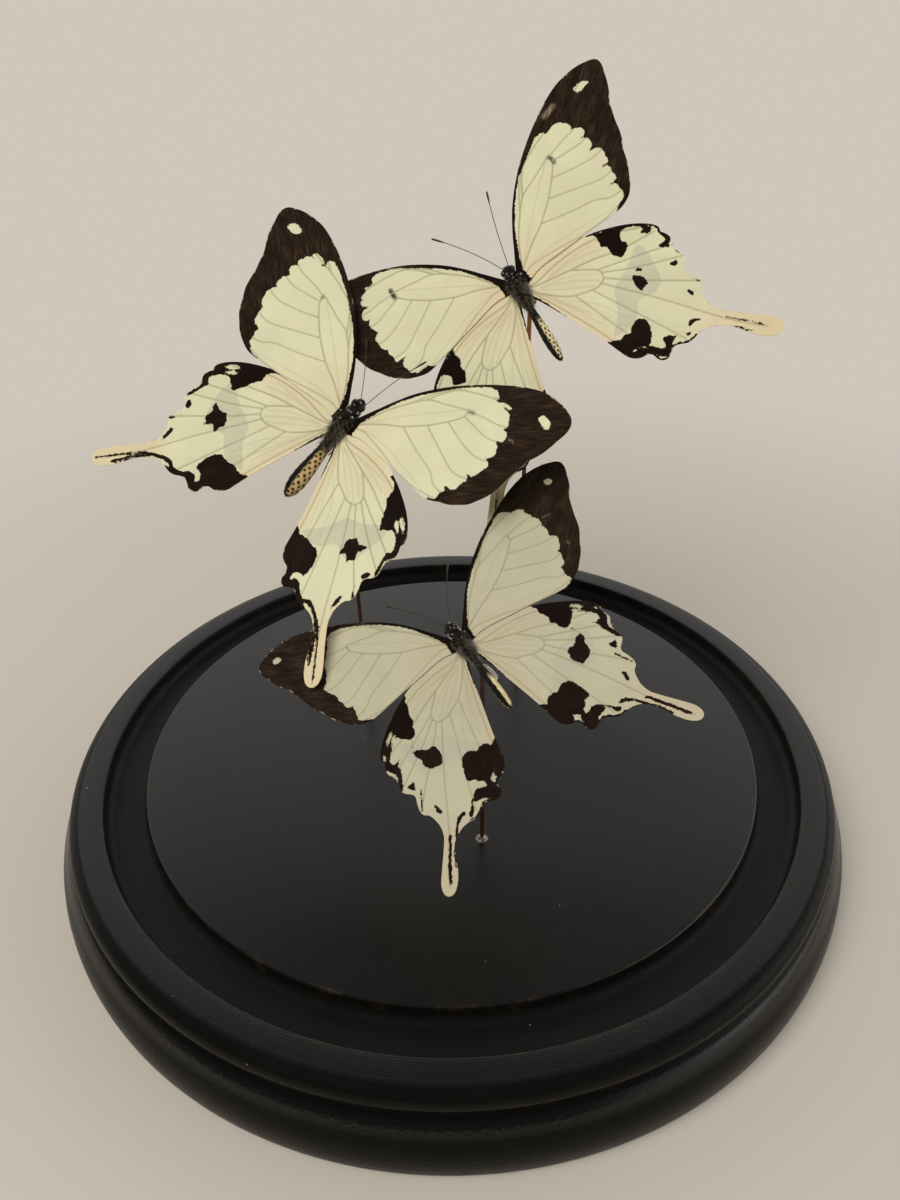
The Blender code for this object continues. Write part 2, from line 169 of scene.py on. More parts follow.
# Outer part of each forewing's cream field, from its leading edge round to its hind margin, and
# the cream spots beyond it. A corner written twice stays sharp: it is a dark wedge on a vein.
FOREWING_MARKS = {
    ("low", "left"): (
        ((0.4, 0.168), (0.55, 0.17), (0.62, 0.155), (0.65, 0.12), (0.64, 0.085), (0.645, 0.02),
            (0.65, -0.04), (0.632, -0.068), (0.634, -0.107), (0.63, -0.125), (0.63, -0.125),
            (0.644, -0.145), (0.638, -0.163), (0.605, -0.181), (0.58, -0.192), (0.566, -0.207),
            (0.566, -0.207), (0.557, -0.225), (0.54, -0.233), (0.523, -0.259), (0.511, -0.262),
            (0.485, -0.255), (0.485, -0.255), (0.479, -0.276), (0.468, -0.287), (0.46, -0.314),
            (0.449, -0.332), (0.426, -0.332)),
        (
            ((0.931, 0.015), (0.918, 0.034), (0.897, 0.039), (0.881, 0.025), (0.893, 0.004),
                (0.915, -0.001)),
        ),
    ),
    ("low", "right"): (
        ((0.483, 0.17), (0.51, 0.17), (0.56, 0.168), (0.624, 0.166), (0.643, 0.151), (0.657, 0.121),
            (0.657, 0.098), (0.657, 0.098), (0.674, 0.088), (0.691, 0.063), (0.692, 0.043),
            (0.68, 0.029), (0.68, 0.029), (0.682, -0.002), (0.67, -0.018), (0.67, -0.018),
            (0.674, -0.04), (0.667, -0.06), (0.656, -0.08), (0.641, -0.084), (0.641, -0.084),
            (0.642, -0.101), (0.626, -0.125), (0.606, -0.146), (0.606, -0.146), (0.616, -0.166),
            (0.616, -0.185), (0.594, -0.201), (0.573, -0.218), (0.554, -0.221), (0.542, -0.215),
            (0.542, -0.215), (0.543, -0.236), (0.519, -0.254), (0.5, -0.277), (0.48, -0.275),
            (0.468, -0.265), (0.468, -0.265), (0.467, -0.284), (0.446, -0.3), (0.442, -0.327),
            (0.438, -0.342), (0.418, -0.342), (0.39, -0.336)),
        (
            ((0.868, 0.015), (0.888, 0.006), (0.895, -0.007), (0.885, -0.034), (0.86, -0.024),
                (0.857, -0.009)),
        ),
    ),
    ("middle", "left"): (
        ((0.338, 0.154), (0.386, 0.162), (0.447, 0.164), (0.515, 0.168), (0.573, 0.163), (0.632, 0.158),
            (0.665, 0.15), (0.688, 0.143), (0.698, 0.126), (0.693, 0.11), (0.671, 0.098),
            (0.671, 0.098), (0.692, 0.081), (0.711, 0.07), (0.731, 0.056), (0.737, 0.051),
            (0.737, 0.051), (0.748, 0.035), (0.748, 0.022), (0.738, 0.011), (0.744, -0.007),
            (0.736, -0.018), (0.716, -0.021), (0.716, -0.021), (0.724, -0.034), (0.724, -0.052),
            (0.715, -0.066), (0.7, -0.069), (0.683, -0.068), (0.683, -0.068), (0.686, -0.099),
            (0.678, -0.123), (0.663, -0.139), (0.642, -0.142), (0.642, -0.142), (0.652, -0.16),
            (0.645, -0.185), (0.625, -0.203), (0.603, -0.222), (0.585, -0.226), (0.569, -0.219),
            (0.569, -0.219), (0.558, -0.243), (0.54, -0.262), (0.519, -0.278), (0.497, -0.272),
            (0.476, -0.261), (0.476, -0.261), (0.473, -0.285), (0.452, -0.297), (0.44, -0.318),
            (0.427, -0.324), (0.409, -0.316), (0.409, -0.316), (0.405, -0.327), (0.383, -0.32),
            (0.339, -0.299)),
        (
            ((0.692, 0.103), (0.726, 0.093), (0.75, 0.076), (0.749, 0.06), (0.741, 0.053),
                (0.714, 0.071), (0.689, 0.09)),
            ((0.916, -0.024), (0.918, -0.001), (0.903, 0.021), (0.877, 0.035), (0.864, 0.024),
                (0.862, 0.002), (0.879, -0.016), (0.901, -0.027)),
        ),
    ),
    ("middle", "right"): (
        ((0.465, 0.176), (0.54, 0.178), (0.61, 0.174), (0.648, 0.162), (0.66, 0.156), (0.664, 0.139),
            (0.674, 0.121), (0.67, 0.111), (0.659, 0.107), (0.659, 0.107), (0.694, 0.07), (0.715, 0.05),
            (0.733, 0.025), (0.723, 0.014), (0.728, -0.003), (0.724, -0.029), (0.709, -0.026),
            (0.7, -0.02), (0.7, -0.02), (0.715, -0.04), (0.724, -0.055), (0.721, -0.076),
            (0.711, -0.087), (0.698, -0.089), (0.684, -0.083), (0.672, -0.077), (0.672, -0.077),
            (0.683, -0.095), (0.687, -0.114), (0.687, -0.133), (0.68, -0.151), (0.665, -0.16),
            (0.652, -0.164), (0.64, -0.159), (0.64, -0.159), (0.652, -0.178), (0.656, -0.196),
            (0.651, -0.208), (0.631, -0.217), (0.619, -0.225), (0.607, -0.237), (0.591, -0.242),
            (0.577, -0.236), (0.562, -0.224), (0.562, -0.224), (0.567, -0.245), (0.564, -0.261),
            (0.547, -0.268), (0.535, -0.281), (0.522, -0.292), (0.509, -0.298), (0.495, -0.294),
            (0.48, -0.285), (0.471, -0.274), (0.471, -0.274), (0.472, -0.294), (0.467, -0.308),
            (0.449, -0.314), (0.44, -0.332), (0.432, -0.342), (0.418, -0.339), (0.405, -0.332),
            (0.399, -0.321), (0.399, -0.321), (0.4, -0.339), (0.39, -0.341), (0.37, -0.331),
            (0.344, -0.317), (0.324, -0.305)),
        (
            ((0.673, 0.1), (0.692, 0.096), (0.716, 0.083), (0.733, 0.069), (0.727, 0.059),
                (0.708, 0.069), (0.689, 0.08), (0.672, 0.093)),
            ((0.866, 0.025), (0.877, 0.022), (0.896, 0.005), (0.912, -0.017), (0.909, -0.035),
                (0.897, -0.044), (0.883, -0.034), (0.863, -0.01), (0.852, 0.007)),
        ),
    ),
    ("high", "left"): (
        ((0.466, 0.172), (0.519, 0.18), (0.562, 0.178), (0.59, 0.174), (0.611, 0.172), (0.628, 0.167),
            (0.642, 0.158), (0.652, 0.142), (0.651, 0.124), (0.651, 0.124), (0.666, 0.116),
            (0.687, 0.096), (0.704, 0.078), (0.713, 0.067), (0.706, 0.055), (0.717, 0.042),
            (0.715, 0.03), (0.699, 0.019), (0.674, 0.02), (0.674, 0.02), (0.694, 0.007), (0.71, -0.003),
            (0.714, -0.023), (0.708, -0.043), (0.689, -0.051), (0.67, -0.04), (0.67, -0.04),
            (0.678, -0.056), (0.677, -0.08), (0.656, -0.097), (0.634, -0.114), (0.616, -0.098),
            (0.616, -0.098), (0.636, -0.124), (0.65, -0.145), (0.633, -0.173), (0.608, -0.201),
            (0.595, -0.203), (0.578, -0.193), (0.578, -0.193), (0.589, -0.214), (0.58, -0.228),
            (0.561, -0.238), (0.55, -0.272), (0.528, -0.26), (0.495, -0.244), (0.495, -0.244),
            (0.521, -0.284), (0.498, -0.302), (0.476, -0.33), (0.46, -0.327), (0.446, -0.319),
            (0.446, -0.319), (0.456, -0.331), (0.441, -0.332), (0.409, -0.316), (0.382, -0.301)),
        (((0.694, 0.108), (0.677, 0.113), (0.672, 0.104), (0.689, 0.099)),),
    ),
    ("high", "right"): (
        ((0.422, 0.174), (0.448, 0.169), (0.499, 0.165), (0.564, 0.159), (0.615, 0.155), (0.633, 0.138),
            (0.649, 0.123), (0.635, 0.113), (0.635, 0.113), (0.649, 0.102), (0.675, 0.094),
            (0.695, 0.074), (0.704, 0.047), (0.698, 0.015), (0.689, -0.001), (0.672, 0.003),
            (0.652, 0.012), (0.652, 0.012), (0.676, 0.001), (0.692, -0.02), (0.693, -0.046),
            (0.684, -0.065), (0.666, -0.065), (0.646, -0.052), (0.646, -0.052), (0.657, -0.078),
            (0.653, -0.098), (0.637, -0.115), (0.622, -0.118), (0.598, -0.115), (0.598, -0.115),
            (0.615, -0.13), (0.63, -0.152), (0.617, -0.172), (0.601, -0.187), (0.583, -0.207),
            (0.572, -0.213), (0.554, -0.203), (0.537, -0.192), (0.537, -0.192), (0.553, -0.213),
            (0.553, -0.229), (0.531, -0.243), (0.522, -0.262), (0.512, -0.273), (0.492, -0.268),
            (0.478, -0.257), (0.46, -0.246), (0.46, -0.246), (0.477, -0.267), (0.486, -0.283),
            (0.467, -0.299), (0.457, -0.325), (0.44, -0.332), (0.42, -0.327), (0.42, -0.327),
            (0.404, -0.323), (0.376, -0.319)),
        (
            ((0.857, 0.051), (0.881, 0.035), (0.895, 0.02), (0.902, -0.012), (0.881, -0.004),
                (0.845, 0.017), (0.846, 0.031)),
        ),
    ),
}
# Rubbed pale places on the dark tips: their lines and half widths.
SCUFFS = {
    ("high", "right"): ((((0.714, 0.141), (0.765, 0.117)), 0.012),),
    ("middle", "right"): ((((0.732, -0.074), (0.757, -0.093)), 0.003),),
    ("low", "right"): (
        (((0.686, -0.067), (0.717, -0.098)), 0.0025), (((0.605, -0.242), (0.603, -0.256)), 0.003),
    ),
}
CREAM_FRONT = ((0.0, 0.0), (0.11, 0.078), (0.25, 0.137))
CREAM_REAR = ((0.30, -0.33), (0.20, -0.30), (0.0, -0.10))
# Dusky mark at the end of each forewing's cell: its line, half width and strength.
CELL_MARKS = {
    ("low", "left"): (((0.54, 0.06), (0.535, 0.05)), 0.004, 0.25),
    ("low", "right"): (((0.54, 0.06), (0.535, 0.05)), 0.004, 0.25),
    ("middle", "left"): (((0.545, 0.062), (0.538, 0.05)), 0.006, 0.55),
    ("middle", "right"): (((0.547, 0.06), (0.561, 0.053)), 0.009, 0.6),
    ("high", "left"): (((0.557, 0.077), (0.549, 0.058), (0.54, 0.04)), 0.01, 1.0),
    ("high", "right"): (((0.54, 0.062), (0.535, 0.045), (0.521, 0.028)), 0.008, 0.85),
}
FOREWING_VEINS = {
    "cell_low": ((-0.015, 0.016), (0.03, 0.02), (0.144, 0.016), (0.236, 0.002), (0.343, 0.002),
        (0.429, 0.013), (0.516, 0.035), (0.535, 0.067), (0.532, 0.072)),
    "cell_high": ((-0.015, 0.02), (0.035, 0.028), (0.16, 0.085), (0.333, 0.124), (0.432, 0.099),
        (0.532, 0.07)),
    "costal": ((-0.015, 0.026), (0.035, 0.042), (0.13, 0.1), (0.28, 0.154), (0.44, 0.18)),
    "radius": ((0.333, 0.124), (0.464, 0.166), (0.562, 0.148), (0.654, 0.114), (0.8, 0.05),
        (0.985, 0.02)),
    "radius_fork": ((0.64, 0.12), (0.76, 0.118), (0.9, 0.11)),
    "radius_front": ((0.25, 0.108), (0.4, 0.16), (0.56, 0.18), (0.7, 0.172)),
    "first_median": ((0.538, 0.063), (0.615, 0.028), (0.693, -0.014), (0.82, -0.045), (0.95, -0.058)),
    "second_median": ((0.523, 0.039), (0.585, -0.021), (0.64, -0.069), (0.74, -0.105), (0.862, -0.13)),
    "third_median": ((0.45, 0.018), (0.519, -0.076), (0.591, -0.15), (0.67, -0.18), (0.758, -0.198)),
    "first_cubital": ((0.357, 0.003), (0.425, -0.108), (0.496, -0.214), (0.57, -0.25), (0.655, -0.27)),
    "second_cubital": ((0.243, 0.001), (0.324, -0.119), (0.393, -0.207), (0.419, -0.272),
        (0.47, -0.315), (0.552, -0.326)),
    "hind_vein": ((-0.015, 0.004), (0.04, -0.006), (0.105, -0.061), (0.174, -0.135), (0.242, -0.212),
        (0.33, -0.285), (0.43, -0.338)),
}
FOREWING_FOLDS = (
    ((0.05, -0.005), (0.16, -0.08), (0.27, -0.19), (0.37, -0.3)),
    ((0.04, 0.022), (0.2, 0.045), (0.38, 0.06), (0.53, 0.07)),
)
HINDWING_VEINS = {
    "front": ((-0.01, 0.004), (0.03, 0.03), (0.1, 0.125), (0.2, 0.222), (0.31, 0.29), (0.43, 0.335)),
    "radius": ((-0.01, 0.0), (0.035, 0.015), (0.167, 0.106), (0.26, 0.17), (0.37, 0.232), (0.5, 0.33)),
    "cell_high": ((0.167, 0.106), (0.285, 0.125), (0.326, 0.096), (0.309, 0.052), (0.258, 0.019)),
    "cell_low": ((-0.01, -0.008), (0.03, -0.014), (0.06, -0.02), (0.19, -0.011), (0.258, 0.019)),
    "forward_median": ((0.285, 0.125), (0.39, 0.18), (0.49, 0.235), (0.598, 0.286)),
    "first_median": ((0.308, 0.117), (0.42, 0.15), (0.54, 0.195), (0.655, 0.243)),
    "second_median": ((0.326, 0.096), (0.45, 0.105), (0.6, 0.125), (0.753, 0.145)),
    "third_median": ((0.316, 0.072), (0.45, 0.06), (0.62, 0.042), (0.8, 0.015), (0.93, 0.0),
        (1.08, -0.004)),
    "first_cubital": ((0.285, 0.037), (0.4, 0.0), (0.55, -0.045), (0.66, -0.08), (0.75, -0.11)),
    "second_cubital": ((0.215, -0.003), (0.33, -0.055), (0.48, -0.125), (0.6, -0.175), (0.672, -0.198)),
    "hind_vein": ((-0.01, -0.014), (0.035, -0.026), (0.18, -0.074), (0.33, -0.128), (0.45, -0.178)),
}
HINDWING_FOLDS = (
    ((0.05, -0.004), (0.17, 0.02), (0.3, 0.055)), ((0.05, 0.004), (0.18, 0.055), (0.31, 0.08)),
    ((0.06, 0.015), (0.19, 0.085), (0.29, 0.105)), ((0.05, -0.022), (0.22, -0.06), (0.4, -0.115)),
    ((0.06, 0.03), (0.17, 0.145), (0.28, 0.215)), ((0.2, -0.03), (0.33, -0.025), (0.47, -0.06)),
    ((0.05, -0.02), (0.2, -0.045), (0.38, -0.085)), ((0.08, 0.06), (0.16, 0.155), (0.23, 0.225)),
)

# Dark markings of the hindwings, each as closed outlines, then lines with their half widths, and
# the cream marks that interrupt them as centre, half length, half width and turn.
HINDWING_MARKS = {
    "low": {
        "front_rim": 0.014,
        "patches": (
            ((0.4, -0.185), (0.47, -0.16), (0.585, -0.18), (0.6, -0.21), (0.595, -0.25), (0.5, -0.26),
                (0.42, -0.215)),
            ((0.64, -0.18), (0.69, -0.17), (0.715, -0.21), (0.67, -0.24), (0.635, -0.22)),
            ((0.18, 0.255), (0.21, 0.28), (0.285, 0.31), (0.355, 0.335), (0.43, 0.35), (0.485, 0.35),
                (0.52, 0.34), (0.555, 0.32), (0.57, 0.295), (0.58, 0.27), (0.625, 0.26), (0.655, 0.25),
                (0.66, 0.235), (0.635, 0.235), (0.59, 0.245), (0.56, 0.25), (0.53, 0.27), (0.485, 0.26),
                (0.525, 0.275), (0.53, 0.295), (0.515, 0.31), (0.475, 0.31), (0.43, 0.3), (0.395, 0.29),
                (0.405, 0.26), (0.41, 0.215), (0.39, 0.2), (0.365, 0.2), (0.34, 0.215), (0.315, 0.205),
                (0.295, 0.23), (0.265, 0.235), (0.24, 0.24), (0.22, 0.26)),
            ((0.635, 0.225), (0.66, 0.18), (0.65, 0.175), (0.61, 0.185), (0.63, 0.205)),
            ((0.715, 0.075), (0.725, 0.085), (0.75, 0.075), (0.765, 0.05), (0.75, 0.045),
                (0.73, 0.065)),
            ((0.47, 0.2), (0.48, 0.195), (0.495, 0.19), (0.505, 0.16), (0.54, 0.145), (0.555, 0.1),
                (0.54, 0.085), (0.54, 0.06), (0.51, 0.06), (0.475, 0.065), (0.455, 0.09),
                (0.445, 0.095), (0.445, 0.115), (0.465, 0.135), (0.455, 0.17)),
            ((0.5, -0.035), (0.52, -0.03), (0.615, -0.06), (0.615, -0.08), (0.605, -0.1), (0.62, -0.12),
                (0.615, -0.14), (0.63, -0.155), (0.64, -0.15), (0.645, -0.13), (0.645, -0.115),
                (0.67, -0.095), (0.705, -0.095), (0.71, -0.11), (0.69, -0.15), (0.7, -0.175),
                (0.68, -0.195), (0.645, -0.2), (0.625, -0.19), (0.61, -0.17), (0.58, -0.175),
                (0.565, -0.2), (0.555, -0.22), (0.53, -0.22), (0.485, -0.21), (0.425, -0.18),
                (0.45, -0.17), (0.435, -0.145), (0.45, -0.11), (0.475, -0.105), (0.47, -0.08),
                (0.475, -0.055)),
            ((0.685, -0.09), (0.74, -0.085), (0.77, -0.075), (0.78, -0.09), (0.76, -0.105),
                (0.73, -0.095)),
            ((0.75, -0.06), (0.76, -0.035), (0.785, -0.025), (0.825, -0.02), (0.865, -0.02),
                (0.94, -0.02), (0.87, -0.035), (0.825, -0.03), (0.795, -0.04), (0.775, -0.05),
                (0.765, -0.065)),
        ),
        "lines": (
            (((0.655, 0.152), (0.75, 0.138)), 0.004),
            (((0.86, 0.004), (0.97, 0.0), (1.06, -0.006)), 0.0075),
            (((0.84, -0.028), (0.93, -0.022), (0.99, -0.03)), 0.006),
            (((0.41, 0.21), (0.475, 0.2)), 0.002),
        ),
        "cream": ((0.402, 0.322, 0.03, 0.009, 12), (0.412, 0.303, 0.028, 0.006, 12),
            (0.5, 0.337, 0.014, 0.005, -10)),
    },
    "middle": {
        "front_rim": 0.013,
        "patches": (
            ((0.4, -0.185), (0.47, -0.16), (0.585, -0.18), (0.6, -0.21), (0.595, -0.25), (0.5, -0.26),
                (0.42, -0.215)),
            ((0.185, 0.262), (0.21, 0.285), (0.25, 0.305), (0.315, 0.33), (0.385, 0.355), (0.445, 0.37),
                (0.49, 0.37), (0.52, 0.35), (0.525, 0.33), (0.555, 0.33), (0.575, 0.315),
                (0.585, 0.295), (0.585, 0.275), (0.62, 0.255), (0.66, 0.24), (0.665, 0.225),
                (0.64, 0.23), (0.6, 0.25), (0.555, 0.265), (0.555, 0.28), (0.55, 0.3), (0.535, 0.305),
                (0.48, 0.305), (0.45, 0.285), (0.455, 0.26), (0.445, 0.245), (0.455, 0.23),
                (0.445, 0.22), (0.435, 0.225), (0.38, 0.23), (0.345, 0.245), (0.31, 0.24),
                (0.29, 0.255), (0.27, 0.272), (0.23, 0.268)),
            ((0.65, 0.215), (0.64, 0.19), (0.66, 0.165), (0.675, 0.175), (0.67, 0.2)),
            ((0.75, 0.095), (0.74, 0.075), (0.81, 0.03), (0.785, 0.065)),
            ((0.53, 0.18), (0.52, 0.165), (0.515, 0.14), (0.5, 0.13), (0.48, 0.125), (0.49, 0.105),
                (0.485, 0.085), (0.505, 0.065), (0.53, 0.06), (0.535, 0.05), (0.56, 0.045),
                (0.55, 0.065), (0.56, 0.085), (0.58, 0.085), (0.605, 0.085), (0.585, 0.1), (0.59, 0.12),
                (0.575, 0.13), (0.55, 0.135), (0.545, 0.16)),
            ((0.555, -0.06), (0.525, -0.065), (0.515, -0.085), (0.495, -0.105), (0.475, -0.125),
                (0.455, -0.16), (0.445, -0.18), (0.42, -0.185), (0.485, -0.22), (0.525, -0.235),
                (0.55, -0.235), (0.58, -0.215), (0.6, -0.2), (0.625, -0.2), (0.65, -0.225),
                (0.675, -0.225), (0.7, -0.215), (0.71, -0.19), (0.695, -0.18), (0.715, -0.155),
                (0.735, -0.135), (0.755, -0.135), (0.785, -0.115), (0.79, -0.095), (0.775, -0.085),
                (0.785, -0.065), (0.815, -0.045), (0.855, -0.03), (0.9, -0.03), (0.98, -0.035),
                (1.05, -0.04), (0.98, -0.025), (0.9, -0.02), (0.845, -0.02), (0.795, -0.035),
                (0.76, -0.062), (0.76, -0.08), (0.755, -0.1), (0.74, -0.11), (0.71, -0.12),
                (0.69, -0.12), (0.67, -0.135), (0.66, -0.15), (0.67, -0.175), (0.65, -0.175),
                (0.635, -0.15), (0.64, -0.13), (0.655, -0.11), (0.635, -0.09), (0.59, -0.065)),
        ),
        "lines": (
            (((0.695, 0.146), (0.73, 0.138)), 0.0025), (((0.73, 0.138), (0.762, 0.14)), 0.006),
            (
                ((0.79, -0.06), (0.8, -0.045), (0.85, -0.018), (0.9, -0.014), (0.98, -0.02),
                    (1.05, -0.028)),
                0.006,
            ),
            (((0.88, -0.006), (1.0, 0.0), (1.125, 0.002)), 0.0045),
        ),
        "cream": ((0.43, 0.33, 0.034, 0.011, 12), (0.44, 0.306, 0.028, 0.009, 10),
            (0.612, -0.212, 0.016, 0.007, 20)),
    },
    "high": {
        "front_rim": 0.009,
        "patches": (
            ((0.4, -0.185), (0.47, -0.16), (0.585, -0.18), (0.6, -0.21), (0.595, -0.25), (0.5, -0.26),
                (0.42, -0.215)),
            ((0.225, 0.27), (0.285, 0.3), (0.335, 0.325), (0.385, 0.35), (0.43, 0.355), (0.465, 0.35),
                (0.485, 0.34), (0.48, 0.32), (0.455, 0.315), (0.43, 0.315), (0.445, 0.325),
                (0.445, 0.335), (0.425, 0.34), (0.39, 0.335), (0.36, 0.32), (0.35, 0.3), (0.36, 0.27),
                (0.375, 0.265), (0.395, 0.265), (0.4, 0.24), (0.39, 0.2), (0.375, 0.195), (0.35, 0.2),
                (0.325, 0.21), (0.315, 0.23), (0.285, 0.225), (0.27, 0.24), (0.25, 0.265)),
            ((0.52, 0.325), (0.545, 0.335), (0.575, 0.32), (0.585, 0.31), (0.575, 0.295), (0.585, 0.27),
                (0.555, 0.265), (0.525, 0.265), (0.55, 0.285), (0.555, 0.305), (0.525, 0.32)),
            ((0.62, 0.23), (0.64, 0.205), (0.625, 0.185), (0.6, 0.2), (0.615, 0.21)),
            ((0.71, 0.105), (0.74, 0.09), (0.735, 0.075), (0.705, 0.09)),
            ((0.45, 0.12), (0.47, 0.13), (0.5, 0.13), (0.515, 0.115), (0.53, 0.1), (0.515, 0.085),
                (0.51, 0.065), (0.49, 0.075), (0.465, 0.095)),
            ((0.8, -0.015), (0.76, -0.02), (0.745, -0.035), (0.75, -0.055), (0.76, -0.055),
                (0.77, -0.035), (0.795, -0.02)),
            ((0.74, -0.085), (0.775, -0.08), (0.76, -0.1)),
            ((0.535, -0.055), (0.56, -0.055), (0.585, -0.08), (0.6, -0.115), (0.61, -0.155),
                (0.595, -0.165), (0.63, -0.165), (0.67, -0.17), (0.675, -0.16), (0.67, -0.145),
                (0.65, -0.13), (0.655, -0.115), (0.69, -0.105), (0.715, -0.105), (0.7, -0.12),
                (0.7, -0.15), (0.71, -0.17), (0.705, -0.2), (0.66, -0.205), (0.635, -0.195),
                (0.605, -0.195), (0.57, -0.235), (0.545, -0.23), (0.505, -0.215), (0.425, -0.185),
                (0.475, -0.185), (0.465, -0.17), (0.48, -0.135), (0.505, -0.13), (0.505, -0.095),
                (0.515, -0.065)),
        ),
        "lines": (
            (((0.61, 0.258), (0.645, 0.252)), 0.0035), (((0.715, 0.149), (0.75, 0.146)), 0.003),
            (((0.468, 0.153), (0.482, 0.154)), 0.008), (((0.9, 0.01), (1.06, 0.002)), 0.003),
            (((0.94, -0.024), (1.02, -0.034)), 0.0035),
        ),
        "cream": ((0.548, -0.192, 0.008, 0.003, 60), (0.577, -0.176, 0.009, 0.003, 10)),
    },
}

# Where the markings of the underside show through a hindwing as a grey haze.
HINDWING_HAZE = (
    (0.4, 0.1), (0.425, 0.172), (0.424, 0.27), (0.484, 0.252), (0.56, 0.16), (0.59, 0.121),
    (0.57, 0.06), (0.53, 0.045), (0.502, 0.019), (0.517, -0.026), (0.518, -0.08), (0.469, -0.13),
    (0.43, -0.165), (0.432, -0.058), (0.405, 0.01), (0.382, 0.05),
)

# Body parts on a butterfly of normal size, in mm: X to its right, Y to its head, Z to its back.
ABDOMEN_PROFILE = (
    (-2.4, 1.7), (-4.8, 1.45), (-6.5, 1.45), (-9.0, 1.66), (-12.0, 1.98), (-14.8, 2.18), (-17.2, 2.12),
    (-19.2, 1.74), (-20.7, 1.12), (-21.5, 0.15),
)
SEGMENT = 2.15
ANTENNA_ROOT = (0.8, 7.5, 0.6)
ANTENNA_RADIUS = 0.105
ANTENNA_RINGS = 84
CLUB_START = 0.82
HEAD_START = 1.5
WAIST_START = -2.6
WAIST_REACH = 3.5
FUR_SPOTS = 16000
LONG_HAIRS = 420
HAIR_POINTS = 7
BODY_MARKS = ("yellow", "dot", "grey", "white")
COIL_STEPS = 26

# White dots of the head, collar and shoulders: place in mm and how wide the dot is.
WHITE_DOTS = (
    (0.55, 7.3, 1.0, 0.24), (-0.55, 7.3, 1.0, 0.24), (1.25, 6.3, 1.1, 0.22), (-1.25, 6.3, 1.1, 0.22),
    (0.0, 6.0, 1.6, 0.22), (0.65, 5.3, 1.6, 0.26), (-0.65, 5.3, 1.6, 0.26), (1.75, 5.0, 0.9, 0.3),
    (-1.75, 5.0, 0.9, 0.42), (0.6, 4.1, 1.9, 0.26), (-0.6, 4.1, 1.9, 0.26), (-2.0, 4.3, 0.4, 0.4),
    (2.0, 4.3, 0.4, 0.3), (1.5, 3.3, 1.8, 0.25), (-1.5, 3.3, 1.8, 0.25), (2.4, 2.9, 1.4, 0.24),
    (-2.4, 2.9, 1.4, 0.24), (0.1, 2.7, 2.4, 0.22), (2.3, 3.0, -0.6, 0.26), (-2.3, 3.0, -0.6, 0.26),
    (1.4, 5.9, -0.6, 0.24), (-1.4, 5.9, -0.6, 0.24), (0.9, 1.6, 2.6, 0.18), (-0.9, 1.5, 2.6, 0.18),
)

# Camera: where it stands, how far it looks down, and its slight pan and roll, in radians.
CAMERA_PLACE = (0.0, -0.2175, 0.2191)
CAMERA_PITCH = 0.5867
CAMERA_PAN = 0.0022
CAMERA_ROLL = -0.0173
CAMERA_LENS = 28.8

# Colour of the plain surround.
BACKDROP = (0.625, 0.572, 0.495)


# ---------------------------------------------------------------- helpers for modelling

def set_aside():
    """Go back to object mode with nothing selected."""
    if bpy.context.object and bpy.context.object.mode != "OBJECT":
        bpy.ops.object.mode_set(mode="OBJECT")
    bpy.ops.object.select_all(action="DESELECT")


def take(*objs):
    """Select these objects only, the first of them active."""
    set_aside()
    for obj in objs:
        obj.select_set(True)
    bpy.context.view_layer.objects.active = objs[0]
    return objs[0]


def open_mesh(obj):
    """Start editing a mesh with all of it selected."""
    take(obj)
    bpy.ops.object.mode_set(mode="EDIT")
    bpy.ops.mesh.select_all(action="SELECT")


def close_mesh(obj):
    """Stop editing, and put the object's place into its mesh."""
    bpy.ops.object.mode_set(mode="OBJECT")
    take(obj)
    bpy.ops.object.transform_apply(location=True, rotation=True, scale=True)
    return obj


def apply_modifier(obj, kind, **settings):
    """Add a modifier with its settings and apply it."""
    take(obj)
    modifier = obj.modifiers.new(kind.title(), kind)
    for name, value in settings.items():
        setattr(modifier, name, value)
    bpy.ops.object.modifier_apply(modifier=modifier.name)


def fuse(*objs):
    """Join meshes into the first one."""
    take(*objs)
    bpy.ops.object.join()
    return objs[0]


def name_piece(obj, name):
    obj.name = name
    obj.data.name = name
    return obj


def dress(obj, *materials):
    """Give a mesh these materials and no others."""
    obj.data.materials.clear()
    for material in materials:
        obj.data.materials.append(material)


def held(values):
    """Numbers held between 0 and 1."""
    return np.clip(values, 0.0, 1.0)


def ease(share):
    """A soft start and end for shares from 0 to 1."""
    return share * share * (3 - 2 * share)


def get_points(obj):
    """All vertex places of a mesh as an array."""
    count = len(obj.data.vertices)
    points = np.empty(count * 3)
    obj.data.vertices.foreach_get("co", points)
    return points.reshape(count, 3)


def put_points(obj, points):
    obj.data.vertices.foreach_set("co", np.ascontiguousarray(points, dtype=float).ravel())
    obj.data.update()


def move_points(points, frame):
    """Points taken through a matrix."""
    rows = np.array(frame)
    return points @ rows[:3, :3].T + rows[:3, 3]


def store(obj, name, values):
    """Keep a value for each vertex, for a material to read."""
    layer = obj.data.attributes.new(name, "FLOAT", "POINT")
    layer.data.foreach_set("value", np.ascontiguousarray(values, dtype=np.float32))


def store_place(obj, name, places):
    layer = obj.data.attributes.new(name, "FLOAT_VECTOR", "POINT")
    layer.data.foreach_set("vector", np.ascontiguousarray(places, dtype=np.float32).ravel())


def arc(centre, size, start, end, steps):
    """Points along part of an ellipse, from one angle to another, both in degrees."""
    points = []
    for step in range(steps + 1):
        angle = math.radians(start + (end - start) * step / steps)
        points.append((centre[0] + size[0] * math.cos(angle), centre[1] + size[1] * math.sin(angle)))
    return points


